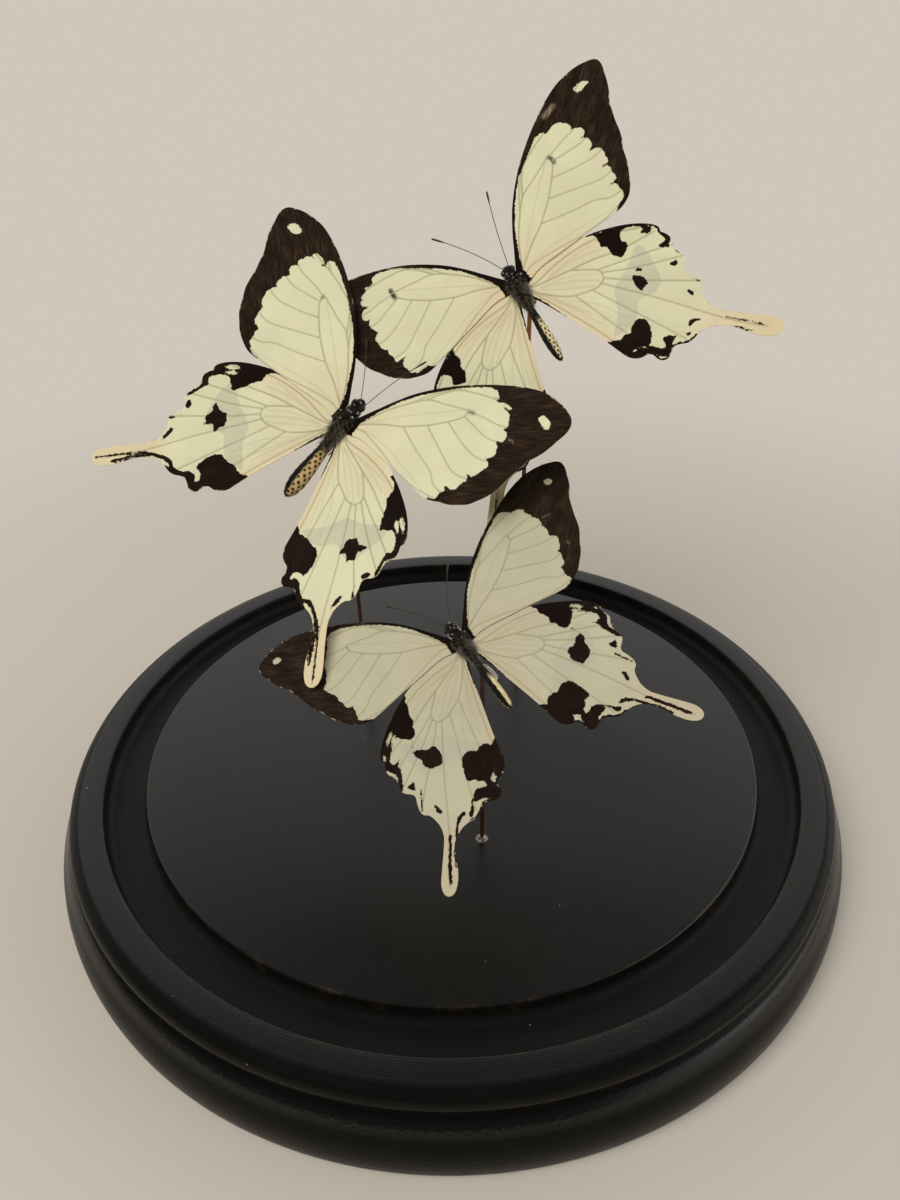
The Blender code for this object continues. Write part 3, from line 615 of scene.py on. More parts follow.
def smooth_curve(points, steps=3):
    """A Catmull-Rom curve through every point, with straight end tangents."""
    spots = [Vector(point) for point in points]
    spots = [2 * spots[0] - spots[1], *spots, 2 * spots[-1] - spots[-2]]
    curve = []
    for before, start, end, after in zip(spots, spots[1:], spots[2:], spots[3:]):
        for step in range(steps):
            t = step / steps
            bend = 2 * before - 5 * start + 4 * end - after
            twist = 3 * (start - end) + after - before
            curve.append(start + 0.5 * t * (end - before + t * (bend + t * twist)))
    curve.append(spots[-2])
    return curve


def soften(outline, rounds=2):
    """Cut the corners of a closed outline. A corner written twice stays sharp."""
    points = [Vector(point) for point in outline]
    for _ in range(rounds):
        cut = []
        for start, end in zip(points, points[1:] + points[:1]):
            if (end - start).length < 1e-6:
                cut += [start, end]
            else:
                cut += [start.lerp(end, 0.25), start.lerp(end, 0.75)]
        points = cut
    return points


def turned_shape(name, profile, steps, closed=False):
    """Draw half a section point by point as (radius, height), and spin it about Z."""
    set_aside()
    first = profile[0]
    bpy.ops.mesh.primitive_plane_add(size=MM, location=(first[0], 0.0, first[1]))
    obj = name_piece(bpy.context.object, name)
    open_mesh(obj)
    bpy.ops.mesh.merge(type="CENTER")
    path = list(profile) + [first] if closed else list(profile)
    for start, end in zip(path, path[1:]):
        step = (end[0] - start[0], 0.0, end[1] - start[1])
        bpy.ops.mesh.extrude_region_move(TRANSFORM_OT_translate={"value": step})
    bpy.ops.mesh.select_all(action="SELECT")
    bpy.ops.mesh.remove_doubles(threshold=1e-7)
    bpy.ops.mesh.spin(steps=steps, angle=math.tau, center=(0, 0, 0), axis=(0, 0, 1))
    bpy.ops.mesh.select_all(action="SELECT")
    bpy.ops.mesh.remove_doubles(threshold=1e-6)
    if not closed:
        bpy.ops.mesh.select_all(action="DESELECT")
        bpy.ops.mesh.select_non_manifold()
        bpy.ops.mesh.fill_holes(sides=0)
        bpy.ops.mesh.select_all(action="SELECT")
    bpy.ops.mesh.normals_make_consistent(inside=False)
    return close_mesh(obj)


def tube(name, strands, sides=8):
    """Round strands as one closed mesh. Each strand is a list of (place, radius)."""
    set_aside()
    bpy.ops.object.add(type="CURVE")
    obj = bpy.context.object
    obj.data.dimensions = "3D"
    obj.data.bevel_depth = 1.0
    obj.data.bevel_resolution = max(0, sides // 2 - 2)
    obj.data.use_fill_caps = True
    for strand in strands:
        spline = obj.data.splines.new("POLY")
        spline.points.add(len(strand) - 1)
        for point, (place, radius) in zip(spline.points, strand):
            point.co = (*place, 1.0)
            point.radius = radius
    bpy.ops.object.convert(target="MESH")
    obj = name_piece(bpy.context.object, name)
    open_mesh(obj)
    bpy.ops.mesh.remove_doubles(threshold=1e-7)
    bpy.ops.mesh.normals_make_consistent(inside=False)
    close_mesh(obj)
    obj.data.shade_smooth()
    return obj


# ---------------------------------------------------------------- helpers for materials

def add_node(tree, kind, **settings):
    node = tree.nodes.new("ShaderNode" + kind)
    for name, value in settings.items():
        setattr(node, name, value)
    return node


def plug(tree, socket, value):
    """Link a socket to another one, or set it to a plain value."""
    if isinstance(value, bpy.types.NodeSocket):
        tree.links.new(value, socket)
    elif isinstance(value, (tuple, list)) and socket.type == "RGBA" and len(value) == 3:
        socket.default_value = (*value, 1.0)
    else:
        socket.default_value = value


def calc(tree, operation, first, second=0.0, third=0.0, clamp=False):
    node = add_node(tree, "Math", operation=operation, use_clamp=clamp)
    for socket, value in zip(node.inputs, (first, second, third)):
        plug(tree, socket, value)
    return node.outputs[0]


def times(tree, first, second, clamp=False):
    return calc(tree, "MULTIPLY", first, second, clamp=clamp)


def scaled(tree, value, factor, start):
    return calc(tree, "MULTIPLY_ADD", value, factor, start)


def ramp(tree, value, low, high, to_low=0.0, to_high=1.0):
    """A soft step from one value to another."""
    node = add_node(tree, "MapRange", interpolation_type="SMOOTHSTEP")
    for socket, number in zip(node.inputs, (value, low, high, to_low, to_high)):
        plug(tree, socket, number)
    return node.outputs[0]


def larger(tree, first, second, clamp=False):
    return calc(tree, "MAXIMUM", first, second, clamp=clamp)


def stripe(tree, value, middle, outer, inner):
    """1 within the inner distance from a middle value, fading to 0 at the outer one."""
    away = calc(tree, "ABSOLUTE", calc(tree, "SUBTRACT", value, middle))
    return ramp(tree, away, outer, inner)


def blend(tree, share, under, over, kind="MIX"):
    node = add_node(tree, "Mix", data_type="RGBA", blend_type=kind)
    plug(tree, node.inputs[0], share)
    plug(tree, node.inputs[6], under)
    plug(tree, node.inputs[7], over)
    return node.outputs[2]


def cloud(tree, place, scale, detail=3.0, roughness=0.55, stretch=None):
    """Noise from 0 to 1 about a place, drawn out along an axis where stretch says so."""
    if stretch:
        mapping = add_node(tree, "Mapping")
        plug(tree, mapping.inputs["Vector"], place)
        mapping.inputs["Scale"].default_value = stretch
        place = mapping.outputs[0]
    node = add_node(tree, "TexNoise")
    plug(tree, node.inputs["Vector"], place)
    node.inputs["Scale"].default_value = scale
    node.inputs["Detail"].default_value = detail
    node.inputs["Roughness"].default_value = roughness
    return node.outputs["Fac"]


def flecks(tree, place, scale, size, share):
    """Sparse round dots: how big they are in their cells, and what share of cells has one."""
    node = add_node(tree, "TexVoronoi")
    plug(tree, node.inputs["Vector"], place)
    node.inputs["Scale"].default_value = scale
    dot = ramp(tree, node.outputs["Distance"], size, size * 0.5)
    parts = add_node(tree, "SeparateColor")
    plug(tree, parts.inputs[0], node.outputs["Color"])
    return times(tree, dot, calc(tree, "LESS_THAN", parts.outputs[0], share))


def kept(tree, name):
    """A value that a mesh keeps for its vertices."""
    node = add_node(tree, "Attribute", attribute_name=name)
    return node.outputs["Fac"]


def kept_place(tree, name):
    node = add_node(tree, "Attribute", attribute_name=name)
    return node.outputs["Vector"]


def object_place(tree):
    return add_node(tree, "TexCoord").outputs["Object"]


def bump(tree, height, strength, distance, normal=None):
    node = add_node(tree, "Bump")
    plug(tree, node.inputs["Height"], height)
    node.inputs["Strength"].default_value = strength
    node.inputs["Distance"].default_value = distance
    if normal:
        plug(tree, node.inputs["Normal"], normal)
    return node.outputs[0]


def new_material(name):
    material = bpy.data.materials.new(name)
    material.use_nodes = True
    return material, material.node_tree, material.node_tree.nodes["Principled BSDF"]


def surface(tree, shader, color, rough, normal):
    """Set what every opaque or milky surface here has."""
    plug(tree, shader.inputs["Base Color"], color)
    plug(tree, shader.inputs["Roughness"], rough)
    plug(tree, shader.inputs["Normal"], normal)


def new_effect(name, inputs, outputs):
    """An empty shader group with named sockets, and its two end nodes."""
    group = bpy.data.node_groups.new(name, "ShaderNodeTree")
    kinds = {"value": "NodeSocketFloat", "colour": "NodeSocketColor", "place": "NodeSocketVector"}
    for label, kind in inputs:
        group.interface.new_socket(label, in_out="INPUT", socket_type=kinds[kind])
    for label, kind in outputs:
        group.interface.new_socket(label, in_out="OUTPUT", socket_type=kinds[kind])
    start = group.nodes.new("NodeGroupInput")
    end = group.nodes.new("NodeGroupOutput")
    return group, start, end


def use_effect(tree, group, **values):
    node = tree.nodes.new("ShaderNodeGroup")
    node.node_tree = group
    for label, value in values.items():
        plug(tree, node.inputs[label.replace("_", " ")], value)
    return node.outputs


def dust_effect():
    """Fine settled dust and a few bright specks, by place in metres."""
    group, start, end = new_effect("settled dust", (("Place", "place"), ("Amount", "value")),
                                   (("Film", "value"), ("Specks", "value")))
    place = start.outputs["Place"]
    film = times(group, cloud(group, place, 55.0, 5.0, 0.7), cloud(group, place, 900.0, 2.0))
    film = times(group, film, start.outputs["Amount"])
    specks = larger(group, flecks(group, place, 230.0, 0.075, 0.022),
                    flecks(group, place, 420.0, 0.10, 0.010))
    plug(group, end.inputs["Film"], film)
    plug(group, end.inputs["Specks"], specks)
    return group


def ragged_effect():
    """Turns a distance inside a marking into a mask whose border follows the wing's scales."""
    group, start, end = new_effect("ragged border", (("Place", "place"), ("Distance", "value")),
                                   (("Mask", "value"),))
    place = start.outputs["Place"]
    fray = calc(group, "SUBTRACT", cloud(group, place, 125.0, 3.0, 0.6), 0.5)
    tooth = calc(group, "SUBTRACT", cloud(group, place, 62.0, 2.0, 0.5), 0.5)
    distance = scaled(group, fray, 0.012, start.outputs["Distance"])
    distance = scaled(group, tooth, 0.013, distance)
    plug(group, end.inputs["Mask"], ramp(group, distance, -0.0018, 0.0018))
    return group


DUST = dust_effect()
RAGGED = ragged_effect()


def black_lacquer():
    """Satin black lacquer on turned wood, dusty in the groove and rubbed on its edges."""
    material, tree, shader = new_material("black_lacquer")
    place = object_place(tree)
    parts = add_node(tree, "SeparateXYZ")
    plug(tree, parts.inputs[0], place)
    length = add_node(tree, "VectorMath", operation="LENGTH")
    flat = add_node(tree, "CombineXYZ")
    plug(tree, flat.inputs[0], parts.outputs[0])
    plug(tree, flat.inputs[1], parts.outputs[1])
    plug(tree, length.inputs[0], flat.outputs[0])
    radius = length.outputs["Value"]
    height = parts.outputs[2]
    in_groove = times(tree, ramp(tree, radius, PLATEAU_RADIUS - 0.1 * MM, PLATEAU_RADIUS + 0.3 * MM),
                      ramp(tree, radius, GROOVE_OUTER_RADIUS + EDGE_ROUND, GROOVE_OUTER_RADIUS))
    dust = use_effect(tree, DUST, Place=place, Amount=1.0)
    grain = cloud(tree, place, 70.0, 6.0, 0.65, (1.0, 0.12, 1.0))
    speck = cloud(tree, place, 1300.0, 2.0, 0.6)
    mottle = cloud(tree, place, 28.0, 4.0, 0.6)
    color = blend(tree, mottle, (0.0030, 0.0030, 0.0026), (0.0046, 0.0045, 0.0038))
    streak = times(tree, ramp(tree, grain, 0.58, 0.75), 0.30)
    color = blend(tree, streak, color, (0.0085, 0.0075, 0.0060))
    # Dust lies on what faces up, and most of all in the groove.
    low_side = ramp(tree, height, SIDE_TOP - 1.0 * MM, SIDE_TOP - 3.5 * MM)
    settled = scaled(tree, in_groove, 0.014, 0.012)
    settled = scaled(tree, low_side, -0.009, settled)
    color = blend(tree, times(tree, dust["Film"], settled), color, (0.30, 0.28, 0.24))
    color = blend(tree, times(tree, dust["Specks"], 0.55), color, (0.42, 0.40, 0.36))
    # Edges where the lacquer is thin: the plateau, the groove, and the fillet below the shoulder.
    worn = times(tree, stripe(tree, radius, PLATEAU_RADIUS - 0.3 * MM, 0.6 * MM, 0.1 * MM), 0.55)
    rim = stripe(tree, radius, GROOVE_OUTER_RADIUS + 0.35 * MM, 0.6 * MM, 0.1 * MM)
    worn = larger(tree, worn, times(tree, rim, 0.6))
    outside = ramp(tree, radius, RIM_RADIUS + 2.0 * MM, RIM_RADIUS + 3.5 * MM)
    fillet = stripe(tree, height, SIDE_TOP - 0.05 * MM, 0.6 * MM, 0.2 * MM)
    worn = larger(tree, worn, times(tree, fillet, outside))
    rubbed = times(tree, worn, ramp(tree, cloud(tree, place, 140.0, 5.0, 0.7), 0.46, 0.72))
    color = blend(tree, times(tree, rubbed, 0.55), color, (0.085, 0.052, 0.028))
    # Painted reflection: the cove under the fillet is tinted brown, as if a brown wooden surface showed
    # in the lacquer.
    cove_reflection = times(tree, stripe(tree, height, SIDE_TOP - 1.2 * MM, 1.2 * MM, 0.4 * MM), outside)
    color = blend(tree, times(tree, cove_reflection, 0.35), color, (0.022, 0.014, 0.009))
    underside = ramp(tree, height, 0.4 * MM, 0.1 * MM)
    wood = blend(tree, grain, (0.020, 0.018, 0.016), (0.045, 0.040, 0.035))
    color = blend(tree, underside, color, wood)
    # Painted shade: the lower side, from just under the fillet down, is darkened further towards black.
    color = blend(tree, times(tree, low_side, 0.45), color, (0.0006, 0.0006, 0.0005))
    # The turned side and the dusty groove shine less than the rim and the plateau; the roll of the
    # bulge shines a little more than the rest of the side.
    side = times(tree, ramp(tree, radius, RIM_RADIUS - 0.2 * MM, RIM_RADIUS + 1.0 * MM),
                 ramp(tree, height, BASE_HEIGHT, BASE_HEIGHT - 0.25 * MM))
    roll = times(tree, ramp(tree, height, ROLL_TOP, ROLL_TOP - 0.6 * MM),
                 ramp(tree, height, ROLL_FOOT, ROLL_FOOT + 2.7 * MM))
    side = calc(tree, "SUBTRACT", side, times(tree, roll, 0.75))
    foot = times(tree, ramp(tree, height, ROLL_FOOT + 2.0 * MM, ROLL_FOOT - 1.0 * MM), 1.02)
    dull = larger(tree, larger(tree, side, foot), times(tree, in_groove, 0.6))
    plug(tree, shader.inputs["Specular IOR Level"], scaled(tree, dull, -0.40, 0.5))
    rough = scaled(tree, cloud(tree, place, 160.0, 4.0, 0.6), 0.10, 0.27)
    rough = calc(tree, "ADD", rough, times(tree, in_groove, 0.22))
    rough = calc(tree, "ADD", rough, times(tree, rubbed, 0.3))
    rough = calc(tree, "ADD", rough, times(tree, ramp(tree, speck, 0.5, 0.75), 0.10))
    rough = calc(tree, "ADD", rough, times(tree, underside, 0.35), clamp=True)
    rough = calc(tree, "SUBTRACT", rough, times(tree, roll, 0.13))
    # Faint lathe rings, the lacquer's slight orange peel, and the dust itself.
    rings = calc(tree, "SINE", times(tree, calc(tree, "ADD", radius, height), 9000.0))
    rings = times(tree, rings, ramp(tree, radius, 0.1005, 0.1015))
    peel = cloud(tree, place, 420.0, 3.0, 0.5)
    peel = calc(tree, "ADD", peel, times(tree, dust["Specks"], 1.5))
    coarse = scaled(tree, ramp(tree, radius, 0.1056, 0.1066), 0.60, 0.35)
    coarse = times(tree, ramp(tree, radius, 0.1012, 0.1018), coarse)
    coarse = larger(tree, in_groove, coarse)
    normal = bump(tree, rings, 0.08, 0.00006)
    normal = bump(tree, peel, 0.12, 0.00012, normal)
    normal = bump(tree, times(tree, speck, coarse), 0.5, 0.00016, normal)
    surface(tree, shader, color, rough, normal)
    return material


def wing_material(name, cream, warm, dark, brown, under):
    """Dry wing scales. Every wing keeps its markings as distances in forewing lengths."""
    material, tree, shader = new_material(name)
    place = kept_place(tree, "wing_place")
    parts = add_node(tree, "SeparateXYZ")
    plug(tree, parts.inputs[0], place)
    along = parts.outputs[0]
    marking = use_effect(tree, RAGGED, Place=place, Distance=kept(tree, "dark"))["Mask"]
    vein = kept(tree, "vein")
    fold = kept(tree, "fold")
    edge = kept(tree, "edge")
    soft = cloud(tree, place, 5.0, 4.0, 0.55)
    fine = cloud(tree, place, 240.0, 2.0, 0.6)
    streaks = cloud(tree, place, 26.0, 4.0, 0.65, (0.30, 1.6, 1.0))
    # Cream scales, warmer near the root and where they have worn thin.
    pale = blend(tree, ramp(tree, soft, 0.32, 0.70), cream, tuple(part * 0.93 for part in cream))
    near_root = ramp(tree, along, 0.34, 0.02)
    warmth = times(tree, near_root, scaled(tree, soft, 0.9, 0.0))
    warmth = larger(tree, warmth, kept(tree, "warm"), clamp=True)
    pale = blend(tree, times(tree, warmth, 0.66), pale, warm)
    pale = blend(tree, times(tree, ramp(tree, streaks, 0.52, 0.78), 0.22), pale, warm)
    haze = scaled(tree, cloud(tree, place, 24.0, 4.0, 0.6), 0.5, kept(tree, "smudge"))
    haze = times(tree, ramp(tree, haze, 0.60, 0.98), ramp(tree, streaks, 0.20, 0.55, 0.55, 1.0))
    pale = blend(tree, times(tree, haze, 0.46), pale, (0.46, 0.445, 0.365))
    pale = blend(tree, times(tree, ramp(tree, fine, 0.35, 0.8), 0.10), pale, (0.36, 0.33, 0.22))
    line = times(tree, ramp(tree, vein, 0.0066, 0.0018), 0.55)
    pale = blend(tree, line, pale, (0.31, 0.285, 0.155))
    crease = times(tree, ramp(tree, fold, 0.0060, 0.0008), 0.26)
    pale = blend(tree, crease, pale, (0.36, 0.32, 0.19))
    dusk = times(tree, kept(tree, "cell"), ramp(tree, cloud(tree, place, 90.0), 0.25, 0.50))
    pale = blend(tree, dusk, pale, (0.045, 0.036, 0.020))
    dots = flecks(tree, place, 42.0, 0.055, 0.05)
    pale = blend(tree, times(tree, dots, 0.5), pale, (0.13, 0.11, 0.08))
    # Black-brown scales, rubbed brown in irregular streaks, with a few pale scratches.
    rub = cloud(tree, place, 13.0, 5.0, 0.62, (0.55, 1.5, 1.0))
    strands = ramp(tree, cloud(tree, place, 115.0, 3.0, 0.6, (0.14, 1.3, 1.0)), 0.38, 0.68)
    rub = ramp(tree, rub, 0.36, 0.76)
    rub = scaled(tree, rub, 0.55, times(tree, streaks, 0.35))
    rub = times(tree, rub, scaled(tree, strands, 1.1, 0.25), clamp=True)
    rub = times(tree, rub, kept(tree, "rub"))
    deep = blend(tree, rub, dark, brown)
    rubbed = kept(tree, "rub")
    grit = times(tree, ramp(tree, fine, 0.45, 0.85), times(tree, rubbed, 0.30))
    deep = blend(tree, grit, deep, brown)
    scratch = cloud(tree, place, 30.0, 2.0, 0.5, (0.25, 4.0, 1.0))
    scratch = times(tree, ramp(tree, scratch, 0.735, 0.80), ramp(tree, soft, 0.40, 0.60))
    deep = blend(tree, times(tree, scratch, 0.25), deep, (0.20, 0.15, 0.10))
    scuff = times(tree, ramp(tree, rubbed, 0.4, 0.9), scaled(tree, strands, 0.8, 0.2))
    scuff = times(tree, kept(tree, "smudge"), scuff)
    deep = blend(tree, times(tree, scuff, 0.85), deep, (0.42, 0.34, 0.23))
    color = blend(tree, marking, pale, deep)
    # Pale fringe tufts between the veins along the outer margin.
    tufts = ramp(tree, cloud(tree, place, 34.0, 2.0, 0.5), 0.56, 0.64)
    fringe = times(tree, ramp(tree, edge, 0.0058, 0.0022), tufts)
    fringe = times(tree, fringe, ramp(tree, along, 0.42, 0.55))
    color = blend(tree, times(tree, fringe, 0.75), color, (0.52, 0.45, 0.32))
    if under:
        bare = ramp(tree, along, 0.35, 0.95)
        color = blend(tree, times(tree, bare, 0.42), color, (0.30, 0.20, 0.10))
        color = blend(tree, ramp(tree, vein, 0.007, 0.002, 0.0, 0.35), color, (0.12, 0.085, 0.05))
    rough = scaled(tree, fine, 0.16, 0.66)
    rough = calc(tree, "SUBTRACT", rough, times(tree, marking, 0.1))
    # Rows of scales, and creases that lie a little lower.
    rows = add_node(tree, "TexWave", wave_type="BANDS", bands_direction="X")
    plug(tree, rows.inputs["Vector"], place)
    rows.inputs["Scale"].default_value = 34.0
    rows.inputs["Distortion"].default_value = 5.0
    rows.inputs["Detail"].default_value = 2.0
    rows.inputs["Detail Scale"].default_value = 6.0
    height = scaled(tree, rows.outputs["Fac"], 0.35, fine)
    height = calc(tree, "SUBTRACT", height, times(tree, ramp(tree, fold, 0.008, 0.0), 1.6))
    surface(tree, shader, color, rough, bump(tree, height, 0.35, 0.00007))
    shader.inputs["Specular IOR Level"].default_value = 0.12
    shader.inputs["Sheen Weight"].default_value = 0.03
    shader.inputs["Sheen Roughness"].default_value = 0.5
    return material


def vein_material():
    """Wing veins: olive on the cream, dark where they cross a marking."""
    material, tree, shader = new_material("wing_veins")
    place = kept_place(tree, "wing_place")
    marking = use_effect(tree, RAGGED, Place=place, Distance=kept(tree, "dark"))["Mask"]
    mottle = cloud(tree, place, 60.0, 3.0, 0.6)
    pale = blend(tree, mottle, (0.37, 0.345, 0.205), (0.50, 0.465, 0.290))
    color = blend(tree, marking, pale, (0.020, 0.013, 0.009))
    surface(tree, shader, color, scaled(tree, mottle, 0.2, 0.5),
            bump(tree, cloud(tree, place, 300.0), 0.3, 0.00005))
    shader.inputs["Specular IOR Level"].default_value = 0.3
    return material


def body_material(name, dull_yellow, yellow):
    """Head, thorax and abdomen with their fur: black, grey-tipped, white-dotted, yellow-sided."""
    material, tree, shader = new_material(f"{name}_furry_body")
    place = object_place(tree)
    mottle = cloud(tree, place, 900.0, 3.0, 0.6)
    black = blend(tree, ramp(tree, mottle, 0.35, 0.75), (0.0060, 0.0050, 0.0042), (0.022, 0.018, 0.014))
    yellow = blend(tree, ramp(tree, mottle, 0.3, 0.7), dull_yellow, yellow)
    dots = ramp(tree, kept(tree, "dot"), 0.44, 0.28)
    flank = blend(tree, dots, yellow, (0.012, 0.009, 0.007))
    color = blend(tree, kept(tree, "yellow"), black, flank)
    olive = ramp(tree, cloud(tree, place, 420.0), 0.40, 0.62)
    olive = blend(tree, olive, (0.270, 0.240, 0.170), (0.200, 0.150, 0.092))
    color = blend(tree, kept(tree, "grey"), color, olive)
    color = blend(tree, kept(tree, "white"), color, (0.78, 0.76, 0.72))
    surface(tree, shader, color, scaled(tree, mottle, 0.25, 0.5),
            bump(tree, cloud(tree, place, 2600.0, 2.0), 0.35, 0.00006))
    shader.inputs["Specular IOR Level"].default_value = 0.3
    return material


def eye_material():
    """Dark compound eyes with fine facets."""
    material, tree, shader = new_material("compound_eye")
    place = object_place(tree)
    cells = add_node(tree, "TexVoronoi")
    plug(tree, cells.inputs["Vector"], place)
    cells.inputs["Scale"].default_value = 7000.0
    mottle = cloud(tree, place, 1200.0)
    color = blend(tree, mottle, (0.010, 0.006, 0.005), (0.032, 0.017, 0.012))
    surface(tree, shader, color, scaled(tree, mottle, 0.15, 0.22),
            bump(tree, cells.outputs["Distance"], 0.3, 0.00004))
    return material


def horn_material():
    """Dry dark horn of feelers and legs, a little browner in a fine mottle."""
    material, tree, shader = new_material("dark_horn")
    place = object_place(tree)
    mottle = cloud(tree, place, 1400.0, 3.0, 0.6)
    color = blend(tree, mottle, (0.018, 0.013, 0.010), (0.066, 0.048, 0.035))
    surface(tree, shader, color, scaled(tree, mottle, 0.2, 0.4),
            bump(tree, cloud(tree, place, 5000.0, 2.0), 0.4, 0.00003))
    return material


def rod_material():
    """Thin rod stained dark red-brown, with its grain along it."""
    material, tree, shader = new_material("stained_rod")
    place = object_place(tree)
    grain = cloud(tree, place, 1500.0, 4.0, 0.65, (1.0, 1.0, 0.03))
    blotch = cloud(tree, place, 180.0, 3.0, 0.6)
    color = blend(tree, ramp(tree, grain, 0.3, 0.7), (0.022, 0.0085, 0.006), (0.085, 0.030, 0.017))
    color = blend(tree, times(tree, ramp(tree, blotch, 0.5, 0.8), 0.4), color, (0.12, 0.045, 0.022))
    # Bare orange-brown wood at the top of the tallest rod.
    parts = add_node(tree, "SeparateXYZ")
    plug(tree, parts.inputs[0], place)
    bare = ramp(tree, scaled(tree, blotch, 0.004, parts.outputs[2]), 0.127, 0.131)
    color = blend(tree, bare, color, blend(tree, grain, (0.20, 0.075, 0.026), (0.42, 0.165, 0.060)))
    surface(tree, shader, color, scaled(tree, grain, 0.25, 0.32),
            bump(tree, grain, 0.4, 0.00006))
    return material


def glue_material(name, shade, tint, clear):
    """Dried glue with a milky cast."""
    material, tree, shader = new_material(name)
    place = object_place(tree)
    milk = cloud(tree, place, 1100.0, 3.0, 0.6)
    surface(tree, shader, blend(tree, milk, shade, tint),
            scaled(tree, milk, 0.22, 0.06), bump(tree, milk, 0.25, 0.0001))
    shader.inputs["Transmission Weight"].default_value = clear
    shader.inputs["IOR"].default_value = 1.49
    return material


def floor_material():
    """Plain pale matt floor that fades into the surround."""
    material, tree, shader = new_material("pale_floor")
    place = object_place(tree)
    length = add_node(tree, "VectorMath", operation="LENGTH")
    plug(tree, length.inputs[0], place)
    far = ramp(tree, length.outputs["Value"], 0.13, 0.42)
    mottle = cloud(tree, place, 3.0, 4.0, 0.6)
    near = blend(tree, mottle, (0.60, 0.555, 0.49), (0.625, 0.58, 0.51))
    plug(tree, shader.inputs["Base Color"], blend(tree, far, near, (0.0, 0.0, 0.0)))
    plug(tree, shader.inputs["Emission Color"], blend(tree, far, (0.0, 0.0, 0.0), BACKDROP))
    shader.inputs["Emission Strength"].default_value = 1.0
    shader.inputs["Roughness"].default_value = 0.95
    shader.inputs["Specular IOR Level"].default_value = 0.0
    return material


# ---------------------------------------------------------------- the turned base

def specimen_pose(facts):
    """Where a butterfly stands: X to its right, Y to its head, Z out of its back."""
    turn = Euler([math.radians(angle) for angle in facts["turn"]])
    return Matrix.LocRotScale(Vector(facts["place"]) * MM, turn, None)


def specimen_size(facts):
    """How large a butterfly is against one of normal size."""
    return facts["forewing"] * MM / NORMAL_FOREWING


def rod_line(facts):
    """Where a rod enters the base, where it meets the body, and its direction."""
    top = specimen_pose(facts) @ (Vector(facts["rod"]) * MM * specimen_size(facts))
    foot = Vector((*facts["foot"], BASE_HEIGHT / MM)) * MM
    return foot, top, (top - foot).normalized()


def base_profile():
    """Half section of the base, from the plateau's edge over the outside to the underside."""
    top = BASE_HEIGHT
    floor = top - GROOVE_DEPTH
    edge = (EDGE_ROUND, EDGE_ROUND)
    corner = (GROOVE_CORNER, GROOVE_CORNER)
    profile = arc((PLATEAU_RADIUS - EDGE_ROUND, top - EDGE_ROUND), edge, 90, 0, 6)
    profile += arc((PLATEAU_RADIUS + GROOVE_CORNER, floor + GROOVE_CORNER), corner, 180, 270, 8)
    profile += arc((GROOVE_OUTER_RADIUS - GROOVE_CORNER, floor + GROOVE_CORNER), corner, 270, 360, 8)
    profile += arc((GROOVE_OUTER_RADIUS + EDGE_ROUND, top - EDGE_ROUND), edge, 180, 90, 6)
    profile += arc((RIM_RADIUS, top - SHOULDER_DROP), (SHOULDER_REACH, SHOULDER_DROP), 90, 0, 12)
    neck = RIM_RADIUS + SHOULDER_REACH
    ledge = top - SHOULDER_DROP - FILLET_HEIGHT
    profile.append((neck, ledge))
    profile.append((neck - COVE_INSET * 0.8, ledge - COVE_HEIGHT * 0.25))
    profile.append((neck - COVE_INSET, ledge - COVE_HEIGHT / 2))
    bulge = arc(BULGE_CENTRE, BULGE_SIZE, *BULGE_ANGLES, 24)
    profile.append((neck - COVE_INSET * 0.9, (ledge - COVE_HEIGHT / 2 + bulge[0][1]) / 2))
    profile += bulge
    profile.append((profile[-1][0] - FOOT_CHAMFER, 0.0))
    return profile


def make_base(material):
    """The turned base, drilled for the three rods."""
    base = turned_shape("black_dome_base", base_profile(), BASE_STEPS)
    for facts in SPECIMENS.values():
        foot, _, lean = rod_line(facts)
        set_aside()
        bpy.ops.mesh.primitive_cylinder_add(
            vertices=32, radius=ROD_RADIUS + GAP, depth=2 * HOLE_DEPTH, location=foot,
            rotation=lean.to_track_quat("Z", "Y").to_euler(),
        )
        drill = bpy.context.object
        apply_modifier(base, "BOOLEAN", operation="DIFFERENCE", object=drill, solver="EXACT")
        bpy.data.objects.remove(drill, do_unlink=True)
    take(base)
    bpy.ops.object.shade_smooth_by_angle(angle=math.radians(32))
    dress(base, material)
    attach(base, "root")
    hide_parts("turned_base")


# ---------------------------------------------------------------- wings

def forewing_outline():
    """Closed outline of a forewing, its outer margin slightly wavy between the veins."""
    outline = smooth_curve(FOREWING_EDGE, 5)
    centre = Vector((0.5, -0.02))
    for point in outline:
        outer = min(1.0, max(0.0, (point.x - 0.42) * 8)) * (1.0 if point.y < 0.02 else 0.0)
        wave = math.sin(point.x * 62.0) * 0.0018 * outer
        point += (centre - point).normalized() * (wave + 0.0012)
    return outline


def hindwing_outline():
    """Closed outline of a tailed hindwing with its teeth."""
    return smooth_curve(HINDWING_EDGE, 4)


def distance_to_line(points, line):
    """Distance from each point to a line through several points, all in the plane."""
    nearest = np.full(len(points), 1e9)
    for start, end in zip(line, line[1:]):
        start = np.array(start[:2])
        step = np.array(end[:2]) - start
        share = held((points - start) @ step / max(step @ step, 1e-12))
        gap = np.linalg.norm(points - start - share[:, None] * step, axis=1)
        nearest = np.minimum(nearest, gap)
    return nearest


def depth_inside(points, outline):
    """Distance to a closed outline, above zero inside it and below zero outside."""
    loop = [tuple(point)[:2] for point in outline]
    inside = np.zeros(len(points), dtype=bool)
    for (x1, y1), (x2, y2) in zip(loop, loop[1:] + loop[:1]):
        crosses = (y1 > points[:, 1]) != (y2 > points[:, 1])
        rise = y2 - y1 if y2 != y1 else 1e-12
        inside ^= crosses & (points[:, 0] < (x2 - x1) * (points[:, 1] - y1) / rise + x1)
    return np.where(inside, 1.0, -1.0) * distance_to_line(points, loop + loop[:1])


